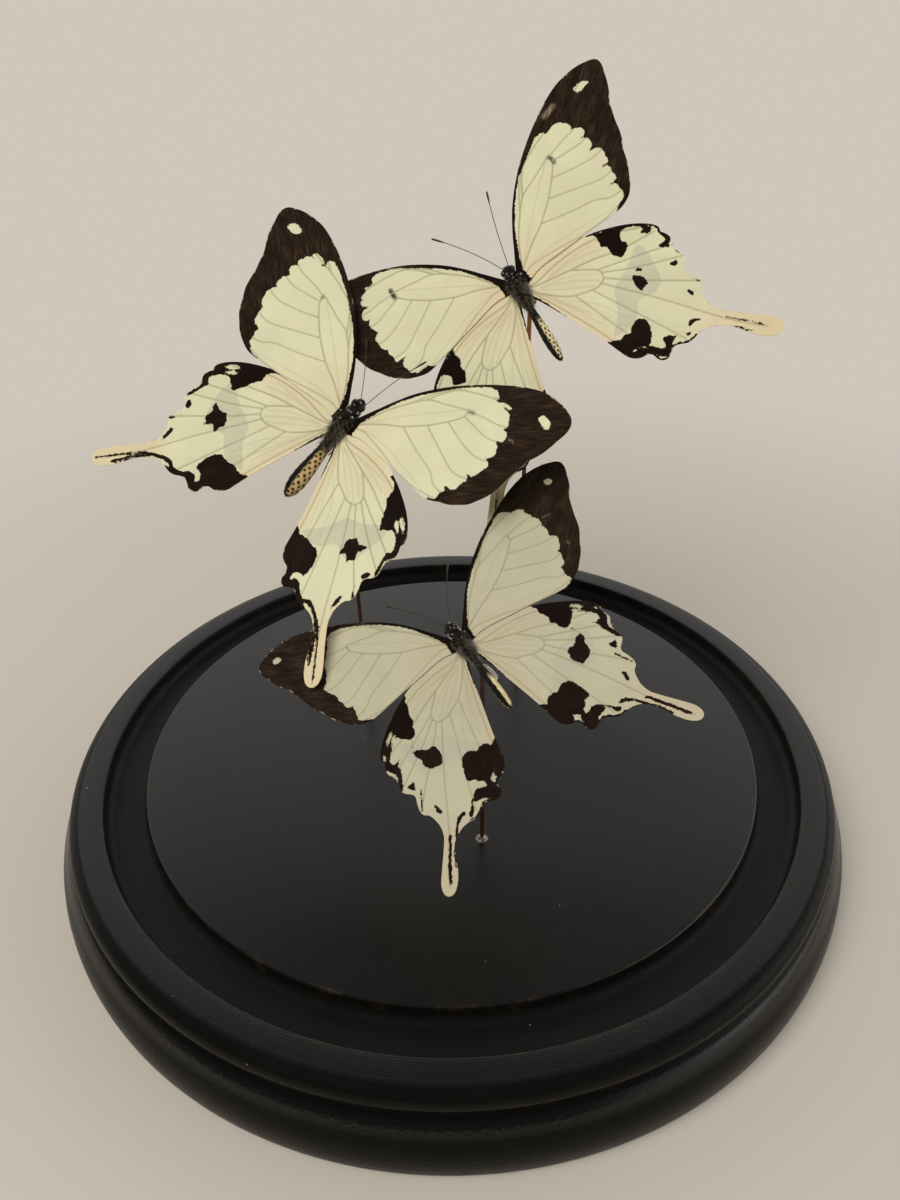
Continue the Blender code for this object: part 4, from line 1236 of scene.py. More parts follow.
def depth_in_spot(points, spot):
    """About how far each point is inside an oval spot."""
    x, y, half_length, half_width, turn = spot
    cos, sin = math.cos(math.radians(turn)), math.sin(math.radians(turn))
    across = points - np.array((x, y))
    u = (across[:, 0] * cos + across[:, 1] * sin) / half_length
    v = (across[:, 1] * cos - across[:, 0] * sin) / half_width
    return (1.0 - np.sqrt(u * u + v * v)) * min(half_length, half_width)


def make_sheet(name, outline):
    """A flat wing: a disc pulled to its outline, and then cut into small cells."""
    set_aside()
    bpy.ops.mesh.primitive_circle_add(vertices=len(outline), radius=0.5, fill_type="NGON")
    sheet = name_piece(bpy.context.object, name)
    put_points(sheet, [(point.x, point.y, 0.0) for point in outline])
    open_mesh(sheet)
    for axis, low, high in ((0, -0.03, 1.15), (1, -0.37, 0.37)):
        cut = low + CELL
        while cut < high:
            place = [0.0, 0.0, 0.0]
            place[axis] = cut
            facing = [0.0, 0.0, 0.0]
            facing[axis] = 1.0
            bpy.ops.mesh.select_all(action="SELECT")
            bpy.ops.mesh.bisect(plane_co=place, plane_no=facing)
            cut += CELL
    bpy.ops.object.mode_set(mode="OBJECT")
    if sheet.data.polygons[0].normal.z < 0:
        open_mesh(sheet)
        bpy.ops.mesh.flip_normals()
        bpy.ops.object.mode_set(mode="OBJECT")
    return sheet


def make_wing(name, outline, veins):
    """A wing to copy: a sheet with two faces, and its veins as thin tapering tubes."""
    sheet = make_sheet(name, outline)
    dress(sheet, *(bpy.data.materials.new(face) for face in ("upper", "under", "vein")))
    apply_modifier(sheet, "SOLIDIFY", thickness=SHEET_THICKNESS, offset=0.0, material_offset=1)
    strands = []
    for label, line in veins.items():
        curve = smooth_curve(line, 6)
        thick = MAIN_VEIN_RADIUS if label in MAIN_VEINS else VEIN_RADIUS
        strand = []
        for number, point in enumerate(curve):
            t = number / (len(curve) - 1)
            strand.append(((point.x, point.y, 0.0), thick * (1.0 - 0.35 * t)))
        strands.append(strand)
    tubes = tube(name + "_veins", strands, 6)
    dress(tubes, *sheet.data.materials)
    for face in tubes.data.polygons:
        face.material_index = 2
    return fuse(sheet, tubes)


def wing_height(points, kind, bend):
    """How far a dried wing lies off its plane: a slight camber and a wave towards its edge."""
    x, y = points[:, 0], points[:, 1]
    far = ease(held((x - 0.08) / 0.5))
    if kind == "forewing":
        lift = 0.0075 * np.sin(5.5 * x + bend) * far
        droop = -0.055 * np.minimum(y + 0.06, 0.0) ** 2 - 0.0045 * np.maximum(x - 0.70, 0.0) * 4
        wave = 0.0030 * np.sin(17.0 * x + 9.0 * y + 3 * bend) * far * held(-y * 6)
        return lift + droop + wave
    angle = np.arctan2(y, x + 0.02)
    pleats = 0.0022 * np.sin(15.0 * angle + bend) * held(x * 5)
    lift = 0.0070 * np.sin(4.6 * x + 2.2 * y + bend) * far
    tail = 0.006 * np.sin(3.2 * bend) * held((x - TAIL_START) / 0.33) ** 2
    return pleats + lift + tail


def mark_forewing(name, side, points):
    """How far inside the dark a point is, and how smudged, warm and dusky it is."""
    border, spots = FOREWING_MARKS[name, side]
    dark = -depth_inside(points, soften(CREAM_FRONT + border + CREAM_REAR, 1))
    for spot in spots:
        dark = np.minimum(dark, -depth_inside(points, soften(spot, 1)))
    costa = [tuple(point) for point in smooth_curve(FOREWING_EDGE[:10], 6)]
    front_band = 0.0110 + 0.020 * held(1.0 - points[:, 0] / 0.22)
    dark = np.maximum(dark, front_band - distance_to_line(points, costa))
    line, half_width, strength = CELL_MARKS[name, side]
    cell = held(1.6 - distance_to_line(points, line) / half_width) * strength
    smudge = np.zeros(len(points))
    for line, half_width in SCUFFS.get((name, side), ()):
        smudge = np.maximum(smudge, held(1.5 - distance_to_line(points, line) / half_width))
    rear = distance_to_line(points, ((0.01, -0.03), (0.10, -0.10), (0.18, -0.175)))
    warm = held(1.35 - rear / 0.040) * held(1.5 - points[:, 0] * 4.5)
    warm *= 1.0 if name == "high" else 0.5
    return dark, smudge, warm, cell


def mark_hindwing(name, side, points, edge):
    """How far inside the dark a point is, and how smudged, warm and dusky it is."""
    marks = HINDWING_MARKS[name]
    dark = np.full(len(points), -1.0)
    for patch in marks["patches"]:
        dark = np.maximum(dark, depth_inside(points, soften(patch, 1)))
    for line, half_width in marks["lines"]:
        dark = np.maximum(dark, half_width - distance_to_line(points, line))
    for spot in marks["cream"]:
        dark = np.minimum(dark, -depth_in_spot(points, spot))
    inner_edge = ((-0.02, -0.034), (0.075, -0.058), (0.13, -0.077), (0.20, -0.103))
    reach = 0.013 - 0.055 * np.clip(points[:, 0], 0.0, 0.24)
    dark = np.maximum(dark, reach - distance_to_line(points, inner_edge))
    x, y = points[:, 0], points[:, 1]
    anal = (x > 0.42) & (x < 0.80) & (y < -0.08)
    dark = np.maximum(dark, np.where(anal, 0.0085 - edge, -1.0))
    front = (x > 0.20) & (x < 0.56) & (y > 0.24)
    dark = np.maximum(dark, np.where(front, marks["front_rim"] - edge, -1.0))
    smudge = held(0.5 + depth_inside(points, soften(HINDWING_HAZE)) / 0.016)
    if (name, side) == ("low", "right"):
        smear = distance_to_line(points, ((0.118, 0.205), (0.18, 0.171)))
        smudge = np.maximum(smudge, held(1.3 - smear / 0.018))
    rear = distance_to_line(points, ((0.05, -0.03), (0.25, -0.10), (0.45, -0.18)))
    warm = held(1.0 - rear / 0.045) * 0.9
    warm = np.maximum(warm, held((points[:, 0] - 0.76) / 0.12) * 0.85)
    front = distance_to_line(points, ((0.05, 0.06), (0.20, 0.21), (0.30, 0.27)))
    warm = np.maximum(warm, held(1.0 - front / 0.05) * 0.7)
    return dark, smudge, warm, np.zeros(len(points))


def gap_to(points, lines):
    """How far each point is from the nearest of some curves."""
    gap = np.full(len(points), 1.0)
    for line in lines:
        gap = np.minimum(gap, distance_to_line(points, smooth_curve(line, 5)))
    return gap


def mark_wing(wing, kind, name, side, points, edge, veins, folds):
    """Keep the wing's markings for the wing materials, most of them as distances."""
    tip = held((points[:, 0] - 0.35) / 0.15)
    if kind == "forewing":
        dark, smudge, warm, cell = mark_forewing(name, side, points)
    else:
        dark, smudge, warm, cell = mark_hindwing(name, side, points, edge)
        tip *= HINDWING_RUB
    vein_gap = gap_to(points, veins.values())
    marks = {
        "dark": dark, "smudge": smudge, "warm": warm, "cell": cell, "vein": vein_gap,
        "fold": gap_to(points, folds), "rub": tip,
    }
    for label, values in marks.items():
        store(wing, label, values)
    return vein_gap


WING_KINDS = {
    "forewing": (forewing_outline(), FOREWING_VEINS, FOREWING_FOLDS, FOREWING_ROOT),
    "hindwing": (hindwing_outline(), HINDWING_VEINS, HINDWING_FOLDS, HINDWING_ROOT),
}


def wing_frame(name, kind, side):
    """Where a wing's own plane lies on its butterfly."""
    facts = SPECIMENS[name]
    mirror = -1 if side == "left" else 1
    length = facts["forewing"] * MM
    turn = Euler(
        (0.0, -mirror * math.radians(facts["raise"][side]),
         mirror * math.radians(facts[f"{kind}_sweep"][side])), "ZYX",
    )
    root = WING_KINDS[kind][3]
    hinge = Vector((mirror * root.x, root.y, root.z)) * MM * length / NORMAL_FOREWING
    return Matrix.LocRotScale(hinge, turn, Vector((length * mirror, length, length)))


def tuck_hindwing(points, name, side, bend):
    """Lay the front of a hindwing against the underside of the forewing above it."""
    frame = wing_frame(name, "forewing", side)
    flat = move_points(points, frame.inverted())
    plane = flat[:, :2]
    near = 1.0 + depth_inside(plane, WING_KINDS["forewing"][0]) / TUCK_REACH
    near = ease(held(near))
    flat[:, 2] += (wing_height(plane, "forewing", bend) - TUCK_GAP - flat[:, 2]) * near
    return move_points(flat, frame)


def set_wing(pattern, kind, name, side, number, materials):
    """Copy a wing, mark it, bend it and set it on its butterfly."""
    outline, veins, folds, _ = WING_KINDS[kind]
    wing = pattern.copy()
    wing.data = pattern.data.copy()
    bpy.context.collection.objects.link(wing)
    name_piece(wing, f"{name}_{kind}_{side}_finished")
    flat = get_points(wing)
    plane = flat[:, :2]
    edge = np.abs(depth_inside(plane, outline))
    if kind == "forewing":
        outer = held((plane[:, 0] - 0.45) / 0.2) * (plane[:, 1] < 0)
        plane[:, 1] *= 1.0 - FOREWING_TRIM[name, side] * outer
    else:
        tail_length, tail_width = TAIL_SCALE[name]
        in_tail = plane[:, 0] - TAIL_START
        plane[:, 1] *= 1.0 - held(in_tail / 0.08) * (1.0 - tail_width)
        plane[:, 0] -= np.maximum(in_tail, 0.0) * (1.0 - tail_length)
    store(wing, "edge", edge)
    vein_gap = mark_wing(wing, kind, name, side, plane, edge, veins, folds)
    places = np.zeros((len(flat), 3))
    places[:, :2] = plane
    places[:, 2] = 0.37 * number
    store_place(wing, "wing_place", places)
    quilt = 0.0022 * (1.0 - np.exp(-((vein_gap / 0.018) ** 2)))
    quilt *= held(plane[:, 0] * 6)
    flat[:, 2] += wing_height(plane, kind, 1.3 * number) + quilt
    placed = move_points(flat, wing_frame(name, kind, side))
    if kind == "hindwing":
        placed = tuck_hindwing(placed, name, side, 1.3 * (number - 2))
    put_points(wing, move_points(placed, specimen_pose(SPECIMENS[name])))
    if side == "left":
        wing.data.flip_normals()
    dress(wing, *materials)
    take(wing)
    bpy.ops.object.shade_smooth_by_angle(angle=math.radians(50))
    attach(wing, "root")
    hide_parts(f"{name}_{kind}_{side}")


# ---------------------------------------------------------------- bodies

def add_ball(name, place, size, segments=28, rings=18):
    """A stretched ball, in mm on a butterfly of normal size."""
    set_aside()
    bpy.ops.mesh.primitive_uv_sphere_add(segments=segments, ring_count=rings, radius=MM)
    ball = name_piece(bpy.context.object, name)
    open_mesh(ball)
    bpy.ops.transform.resize(value=size)
    bpy.ops.transform.translate(value=Vector(place) * MM)
    return close_mesh(ball)


def make_abdomen():
    """The abdomen as a turned shape along Y, with a ring at each segment."""
    profile = []
    curve = smooth_curve(ABDOMEN_PROFILE, 7)
    for along, radius in curve:
        swell = 1.0 + 0.045 * abs(math.sin(math.pi * (along + 3.0) / SEGMENT)) - 0.03
        profile.append((radius * swell * MM, along * MM))
    abdomen = turned_shape("abdomen", profile, 40)
    points = get_points(abdomen)
    # The turned shape stands on Z: lay it along Y, a little flattened at the sides.
    laid = np.column_stack((points[:, 0] * 0.94, points[:, 2], -points[:, 1]))
    put_points(abdomen, laid)
    open_mesh(abdomen)
    bpy.ops.mesh.normals_make_consistent(inside=False)
    return close_mesh(abdomen)


def make_core():
    """Thorax, collar, head and abdomen as one closed shape."""
    core = add_ball("body_core", (0.0, -0.1, 0.0), (1.88, 3.7, 2.25))
    shapes = [
        add_ball("shoulders", (0.0, 2.7, 0.15), (1.72, 1.95, 1.95)),
        add_ball("tegula", (-1.65, 1.6, 1.05), (0.80, 1.9, 0.85), 20, 12),
        add_ball("tegula", (1.65, 1.6, 1.05), (0.80, 1.9, 0.85), 20, 12),
        add_ball("collar", (0.0, 4.7, 0.2), (1.66, 1.35, 1.55)),
        add_ball("head", (0.0, 6.4, 0.1), (1.62, 1.50, 1.45)),
        add_ball("palps", (0.0, 7.6, -0.25), (0.85, 0.75, 0.7), 16, 10),
        make_abdomen(),
    ]
    for shape in shapes:
        apply_modifier(core, "BOOLEAN", operation="UNION", object=shape, solver="EXACT")
        bpy.data.objects.remove(shape, do_unlink=True)
    return core


def body_marks(places, facts):
    """Yellow flank and nearness to a flank dot at places in mm, on an abdomen rolled to its left."""
    along = places[:, 1]
    angle = np.degrees(np.arctan2(places[:, 0], places[:, 2])) + facts["roll"]
    angle = np.abs((angle + 180.0) % 360.0 - 180.0)
    ragged = 3.0 * np.sin(along * 2.9) + 2.0 * np.sin(along * 7.1)
    yellow = held((angle - 44.0 - ragged) / 9.0) * held((facts["flank"] - along) / 2.4)
    yellow *= held((along + 21.4) / 0.9) * (1.0 - held((angle - 152.0) / 8.0))
    cell = (along + 3.0) / SEGMENT
    near = np.full(len(places), 9.0)
    radius = np.hypot(places[:, 0], places[:, 2])
    for row, (row_angle, shift) in enumerate(((58.0, 0.0), (80.0, 0.5), (103.0, 0.1), (128.0, 0.6))):
        step = cell - shift - np.round(cell - shift)
        across = np.radians(angle - row_angle - 2.5 * np.sin(along * 1.7 + row)) * radius
        near = np.minimum(near, np.hypot(step * SEGMENT, across * (0.8 if row % 2 else 1.0)))
    if not facts["dots"]:
        near += 9.0
    return yellow, near


def sample_surface(obj, count, chance):
    """Seeded points on a mesh, with their normals."""
    obj.data.calc_loop_triangles()
    tris = np.empty(len(obj.data.loop_triangles) * 3, dtype=np.int32)
    obj.data.loop_triangles.foreach_get("vertices", tris)
    corners = get_points(obj)[tris.reshape(-1, 3)]
    # Faces of joined shapes come in no fixed order: start each at its lowest corner, and sort them.
    first = np.argmin(corners @ np.array((1.0, 1.7, 2.3)), axis=1)
    around = (first[:, None] + np.arange(3)) % 3
    corners = np.take_along_axis(corners, around[:, :, None], axis=1)
    corners = corners[np.lexsort(corners.reshape(-1, 9).T)]
    cross = np.cross(corners[:, 1] - corners[:, 0], corners[:, 2] - corners[:, 0])
    area = np.linalg.norm(cross, axis=1)
    pick = chance.choice(len(area), count, p=area / area.sum())
    a, b = chance.random((2, count, 1))
    over = (a + b) > 1
    a, b = np.where(over, 1 - a, a), np.where(over, 1 - b, b)
    spots = corners[pick, 0] + a * (corners[pick, 1] - corners[pick, 0])
    spots += b * (corners[pick, 2] - corners[pick, 0])
    normals = cross[pick] / np.maximum(area[pick], 1e-20)[:, None]
    return spots, normals


def make_hairs(name, roots, directions, lengths, radii, curl):
    """Many closed three-sided hairs as one mesh, each bent once on the way to its tip."""
    count = len(roots)
    side = np.cross(directions, np.array((0.31, 0.17, 0.93)))
    side /= np.maximum(np.linalg.norm(side, axis=1), 1e-9)[:, None]
    other = np.cross(directions, side)
    points = np.empty((count, HAIR_POINTS, 3))
    for corner in range(3):
        angle = math.tau * corner / 3
        ring = side * math.cos(angle) + other * math.sin(angle)
        points[:, corner] = roots + ring * radii[:, None]
        points[:, 3 + corner] = roots + directions * lengths[:, None] * 0.55
        points[:, 3 + corner] += ring * radii[:, None] * 0.75
        points[:, 3 + corner] += curl * 0.3
    points[:, 6] = roots + directions * lengths[:, None] + curl
    faces = [(2, 1, 0), (0, 1, 4, 3), (1, 2, 5, 4), (2, 0, 3, 5), (3, 4, 6), (4, 5, 6), (5, 3, 6)]
    starts = np.arange(count) * HAIR_POINTS
    all_faces = [[int(start) + corner for corner in face] for start in starts for face in faces]
    mesh = bpy.data.meshes.new(name)
    mesh.from_pydata(points.reshape(-1, 3).tolist(), [], all_faces)
    hairs = bpy.data.objects.new(name, mesh)
    bpy.context.collection.objects.link(hairs)
    return hairs


def unit(rows):
    return rows / np.maximum(np.linalg.norm(rows, axis=1), 1e-12)[:, None]


def make_fur(core, chance, facts):
    """Fur of the thorax and head, short nap of the abdomen, and the white dots of the collar."""
    tufts = []
    spots, normals = sample_surface(core, FUR_SPOTS, chance)
    mm = spots / MM
    dots = np.array(WHITE_DOTS)
    clear = np.ones(len(mm), dtype=bool)
    for dot in dots:
        clear &= np.linalg.norm(mm - dot[:3], axis=1) > dot[3] + 0.42
    front = mm[:, 1] > -4.2
    keep = clear & (chance.random(len(spots)) < np.where(front, 0.95, 0.45))
    spots, normals, mm, front = spots[keep], normals[keep], mm[keep], front[keep]
    back = np.array((0.0, -1.0, 0.0))
    stray = chance.normal(size=spots.shape)
    head = mm[:, 1] > 3.9
    lean = np.where(front, 0.55, 2.6)[:, None]
    directions = unit(normals + back * lean + stray * np.where(front, 0.52, 0.30)[:, None])
    directions[head] = unit(normals[head] + np.array((0.0, 0.25, 0.0)) + stray[head] * 0.5)
    long_ones = chance.uniform(0.35, 0.85, len(spots))
    lengths = np.where(front, long_ones, chance.uniform(0.25, 0.5, len(spots)))
    lengths[head] = chance.uniform(0.25, 0.60, head.sum())
    curl = (back * 0.12 + stray * 0.11) * lengths[:, None] * MM
    yellow, dot = body_marks(mm, facts)
    # Grey-olive fur in clumps, most of it at the rear of the thorax.
    clump = np.sin(3.4 * mm[:, 0] + 1.9 * mm[:, 1]) * np.sin(2.7 * mm[:, 1] - 2.2 * mm[:, 2] + 1.0)
    clump = held(0.45 + 0.9 * clump + 0.35 * np.sin(6.1 * mm[:, 1] + 4.3 * mm[:, 0]))
    rear = held((3.4 - mm[:, 1]) / 2.6) * held((mm[:, 1] + 8.5) / 2.5)
    grey = (0.30 + 0.70 * rear) * clump * chance.random(len(spots)) ** 0.45
    grey = np.where(mm[:, 1] > -8.0, grey, 0.0) + np.where(head, -0.12, 0.0)
    radii = np.where(front, chance.uniform(0.05, 0.085, len(spots)), 0.06) * MM
    hairs = make_hairs("fur", spots - normals * 0.05 * MM, directions, lengths * MM, radii, curl)
    tufts.append((hairs, yellow, dot, held(grey), np.zeros(len(spots))))
    # Long pale hairs that lie from the thorax back over the hindwing roots.
    spots, normals = sample_surface(core, 9000, chance)
    mm = spots / MM
    flank = (mm[:, 1] > -5.5) & (mm[:, 1] < 0.5) & (np.abs(mm[:, 0]) > 1.2) & (mm[:, 2] > -0.9)
    spots, normals = spots[flank][:LONG_HAIRS], normals[flank][:LONG_HAIRS]
    stray = chance.normal(size=spots.shape)
    directions = unit(normals * 0.75 + back * 1.1 + stray * 0.30 + np.array((0.0, 0.0, 0.12)))
    lengths = chance.uniform(0.9, 2.2, len(spots))
    curl = (back * 0.25 + stray * 0.12) * lengths[:, None] * MM
    thickness = np.full(len(spots), 0.035 * MM)
    hairs = make_hairs("long_hairs", spots, directions, lengths * MM, thickness, curl)
    none = np.zeros(len(spots))
    grey = chance.uniform(0.3, 1.0, len(spots))
    tufts.append((hairs, none, none + 9, grey, chance.random(len(spots)) * 0.30))
    # White dots: small tight tufts that stand up through the fur.
    reach, spread = sample_surface(core, FUR_SPOTS, chance)
    for dot in dots:
        shine = chance.uniform(0.30, 0.90)
        if chance.random() < 0.4:
            continue
        gap = np.linalg.norm(reach / MM - dot[:3], axis=1)
        nearest = np.argmin(gap)
        gap = np.linalg.norm(reach - reach[nearest], axis=1) / MM
        near = np.argsort(gap)[:60]
        near = near[gap[near] < dot[3]][:22]
        spots, normals = reach[near], spread[near]
        stray = chance.normal(size=spots.shape)
        directions = unit(normals + stray * 0.12)
        lengths = chance.uniform(0.36, 0.46, len(spots)) * MM
        thickness = np.full(len(spots), 0.10 * MM)
        hairs = make_hairs("white_dot", spots, directions, lengths, thickness, stray * 0)
        none = np.zeros(len(spots))
        tufts.append((hairs, none, none + 9, none, none + shine))
    for hairs, *marks in tufts:
        for label, values in zip(BODY_MARKS, marks):
            store(hairs, label, np.repeat(values, HAIR_POINTS))
        hairs.data.shade_smooth()
    return [row[0] for row in tufts]


def leg_strand(side, root, knee, foot):
    """One folded leg, as a strand from the thorax over its knee to its foot."""
    points = smooth_curve([(side * x, y, z) for x, y, z in (root, knee, foot)], 6)
    strand = []
    for number, point in enumerate(points):
        t = number / (len(points) - 1)
        strand.append((point * MM, (0.24 - 0.13 * t + 0.05 * math.sin(9.0 * t) ** 2) * MM))
    return strand


def make_body(name, materials, seed):
    """A whole body: core, fur, eyes, folded legs and coiled tongue."""
    chance = np.random.default_rng(seed)
    facts = SPECIMENS[name]
    core = make_core()
    mm = get_points(core) / MM
    yellow, dot = body_marks(mm, facts)
    none = np.zeros(len(mm))
    for label, values in zip(BODY_MARKS, (yellow, dot, none, none)):
        store(core, label, values)
    core.data.shade_smooth()
    tufts = make_fur(core, chance, facts)
    for piece in [core] + tufts:
        dress(piece, materials["body"])
    eyes = [add_ball("eye", (side * 1.18, 6.62, 0.15), (0.84, 0.98, 0.98), 24, 16) for side in (-1, 1)]
    for eye in eyes:
        dress(eye, materials["eye"])
        eye.data.shade_smooth()
    strands = []
    for side in (-1, 1):
        strands.append(leg_strand(side, (1.0, 3.4, -1.6), (1.5, 4.4, -3.0), (0.6, 0.8, -3.2)))
        strands.append(leg_strand(side, (1.1, 1.4, -2.2), (1.7, 1.4, -3.6), (0.8, -3.8, -2.9)))
        strands.append(leg_strand(side, (1.0, -0.8, -2.2), (1.5, -2.4, -3.3), (0.7, -7.4, -2.4)))
    coil = []
    for number in range(COIL_STEPS + 1):
        turn = number / COIL_STEPS * 4.2 * math.pi
        size = 0.55 - 0.42 * number / COIL_STEPS
        place = Vector((0.0, 7.95 + size * math.sin(turn), -0.95 - size * math.cos(turn)))
        coil.append((place * MM, 0.09 * MM))
    strands.append(coil)
    limbs = tube("limbs", strands, 8)
    dress(limbs, materials["horn"])
    body = fuse(core, *tufts, *eyes, limbs)
    name_piece(body, f"{name}_body_finished")
    local = Matrix.Rotation(math.radians(facts["yaw"]), 4, "Z") @ Matrix.Scale(specimen_size(facts), 4)
    points = get_points(body)
    points[:, 1] -= np.maximum(points[:, 1] - HEAD_START * MM, 0.0) * (1.0 - facts["head"])
    behind = held((WAIST_START * MM - points[:, 1]) / (WAIST_REACH * MM))
    behind = ease(behind) * (points[:, 2] > -6.0 * MM)
    slimming = 1.0 - behind * (1.0 - facts["girth"])
    points[:, 0] *= slimming
    points[:, 2] *= slimming
    put_points(body, move_points(points, specimen_pose(facts) @ local))
    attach(body, "root")
    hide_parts(f"{name}_body")


def make_antenna(name, side, material):
    """A ringed feeler with a slender club."""
    facts = SPECIMENS[name]
    mirror = -1 if side == "left" else 1
    root = Vector((mirror * ANTENNA_ROOT[0], *ANTENNA_ROOT[1:]))
    root.y -= (root.y - HEAD_START) * (1.0 - facts["head"])
    tip = Vector(facts["antennae"][side])
    elbow = root.lerp(tip, 0.5) - Vector((0.12 * tip.x, 0.0, -1.0))
    size = specimen_size(facts)
    pose = specimen_pose(facts)
    strand = []
    for number in range(ANTENNA_RINGS):
        t = number / (ANTENNA_RINGS - 1)
        spot = root.lerp(elbow, t).lerp(elbow.lerp(tip, t), t)
        swell = max(0.0, (t - CLUB_START) / (1 - CLUB_START))
        radius = ANTENNA_RADIUS * (1.0 + 1.7 * math.sin(math.pi * 0.78 * swell))
        radius *= 1.0 if number % 2 else 0.86
        if number == ANTENNA_RINGS - 1:
            radius *= 0.4
        strand.append((pose @ (spot * MM * size), radius * MM))
    feeler = tube(f"{name}_antenna_{side}_finished", [strand], 8)
    dress(feeler, material)
    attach(feeler, "root")
    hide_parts(f"{name}_antenna_{side}")


# ---------------------------------------------------------------- rods and glue

def make_rod(name, material, chance):
    """A thin rod with a slightly uneven surface, from its hole to the body."""
    foot, top, lean = rod_line(SPECIMENS[name])
    top += lean * SPECIMENS[name]["rod_reach"] * MM
    start = foot - lean * (HOLE_DEPTH - GAP)
    steps = 40
    strand = []
    for number in range(steps + 1):
        t = number / steps
        spot = start.lerp(top, t)
        if 0.15 < t < 0.95:
            spot = spot + Vector((chance.normal(), chance.normal(), 0.0)) * 0.012 * MM
        radius = ROD_RADIUS * (1.0 - 0.02 * chance.random())
        strand.append((spot, radius))
    rod = tube(f"{name}_rod_finished", [strand], 16)
    take(rod)
    bpy.ops.object.shade_smooth_by_angle(angle=math.radians(50))
    dress(rod, material)
    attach(rod, "root")
    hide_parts(f"{name}_rod")


def make_foot_glue(name, material, chance):
    """An uneven bead of clear glue round the rod's foot, touching rod and plateau."""
    foot = rod_line(SPECIMENS[name])[0]
    inner, outer, height = 0.64 * MM, 1.72 * MM, 1.0 * MM
    profile = [(inner, 0.02 * MM), (inner, height), (inner + 0.22 * MM, height * 0.86)]
    profile.append((inner + 0.55 * MM, height * 0.48))
    profile += [(outer - 0.12 * MM, height * 0.14), (outer, 0.02 * MM)]
    glue = turned_shape(f"{name}_glue_finished", profile, 36, closed=True)
    points = get_points(glue)
    angle = np.arctan2(points[:, 1], points[:, 0])
    reach = np.hypot(points[:, 0], points[:, 1])
    phase = chance.uniform(0, math.tau, 3)
    swell = 0.10 * np.sin(2 * angle + phase[0]) + 0.06 * np.sin(3 * angle + phase[1])
    swell += 0.035 * np.sin(7 * angle + phase[2])
    share = held((reach - inner) / (outer - inner))
    points[:, 0] *= 1.0 + swell * share * 0.45
    points[:, 1] *= 1.0 + swell * share * 0.45
    points[:, 2] *= 1.0 + swell * 0.8 * (1.0 - share)
    put_points(glue, points + np.array((foot.x, foot.y, BASE_HEIGHT)))
    glue.data.shade_smooth()
    dress(glue, material)
    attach(glue, "root")
    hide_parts(f"{name}_glue")


def make_top_glue(name, material, offset, size):
    """The drop of glue that holds a body on its rod."""
    facts = SPECIMENS[name]
    set_aside()
    bpy.ops.mesh.primitive_ico_sphere_add(subdivisions=4, radius=1.0)
    drop = name_piece(bpy.context.object, f"{name}_top_glue")
    points = get_points(drop)
    lumps = 0.16 * np.sin(3.1 * points[:, 0] + 2.4 * points[:, 1])
    lumps += 0.10 * np.sin(5.3 * points[:, 2] + 1.0)
    points *= (1.0 + lumps)[:, None] * np.array(size) * MM
    centre = (Vector(facts["rod"]) + Vector(offset)) * MM * specimen_size(facts)
    put_points(drop, move_points(points, specimen_pose(facts) @ Matrix.Translation(centre)))
    drop.data.shade_smooth()
    dress(drop, material)
    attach(drop, "root")


# ---------------------------------------------------------------- light, floor and camera

def add_soft_light(name, place, aim, size, power, color):
    light = bpy.data.lights.new(name, "AREA")
    light.shape = "RECTANGLE"
    light.size, light.size_y = size
    light.energy = power
    light.color = color
    lamp = bpy.data.objects.new(name, light)
    bpy.context.collection.objects.link(lamp)
    lamp.location = place
    lamp.rotation_euler = (Vector(aim) - Vector(place)).to_track_quat("-Z", "Y").to_euler()


def surround_world():
    """A plain pale surround to look at, and a bright wall behind with a dim room for reflections."""
    world = bpy.data.worlds.new("surround")
    bpy.context.scene.world = world
    world.use_nodes = True
    tree = world.node_tree
    parts = add_node(tree, "SeparateXYZ")
    plug(tree, parts.inputs[0], add_node(tree, "TexCoord").outputs["Generated"])
    aside, ahead, above = parts.outputs
    wall = times(tree, ramp(tree, ahead, -0.15, 0.45), ramp(tree, above, 0.83, 0.67))
    right = times(tree, ramp(tree, aside, 0.45, 0.85), ramp(tree, above, 0.55, 0.15))
    strength = scaled(tree, wall, 0.70, scaled(tree, right, 0.75, 0.10))
    seen = add_node(tree, "LightPath").outputs["Is Camera Ray"]
    sky = tree.nodes["Background"]
    plug(tree, sky.inputs["Strength"], larger(tree, strength, seen))
    plug(tree, sky.inputs["Color"], blend(tree, seen, (1.0, 0.98, 0.94), BACKDROP))


def set_stage():
    """Plain pale floor, its surround, and two soft lights."""
    set_aside()
    bpy.ops.mesh.primitive_plane_add(size=12.0)
    floor = name_piece(bpy.context.object, "floor")
    dress(floor, floor_material())
    surround_world()
    add_soft_light(
        "key_light", (-0.55, -0.75, 1.45), (0.0, 0.0, 0.1), (1.3, 1.3), 24.0, (1.0, 0.965, 0.91),
    )
    add_soft_light("fill_light", (1.3, -0.3, 0.55), (0.0, 0.0, 0.06), (0.9, 0.9), 2.5, (1.0, 0.97, 0.94))
    bpy.data.objects["key_light"].visible_glossy = False


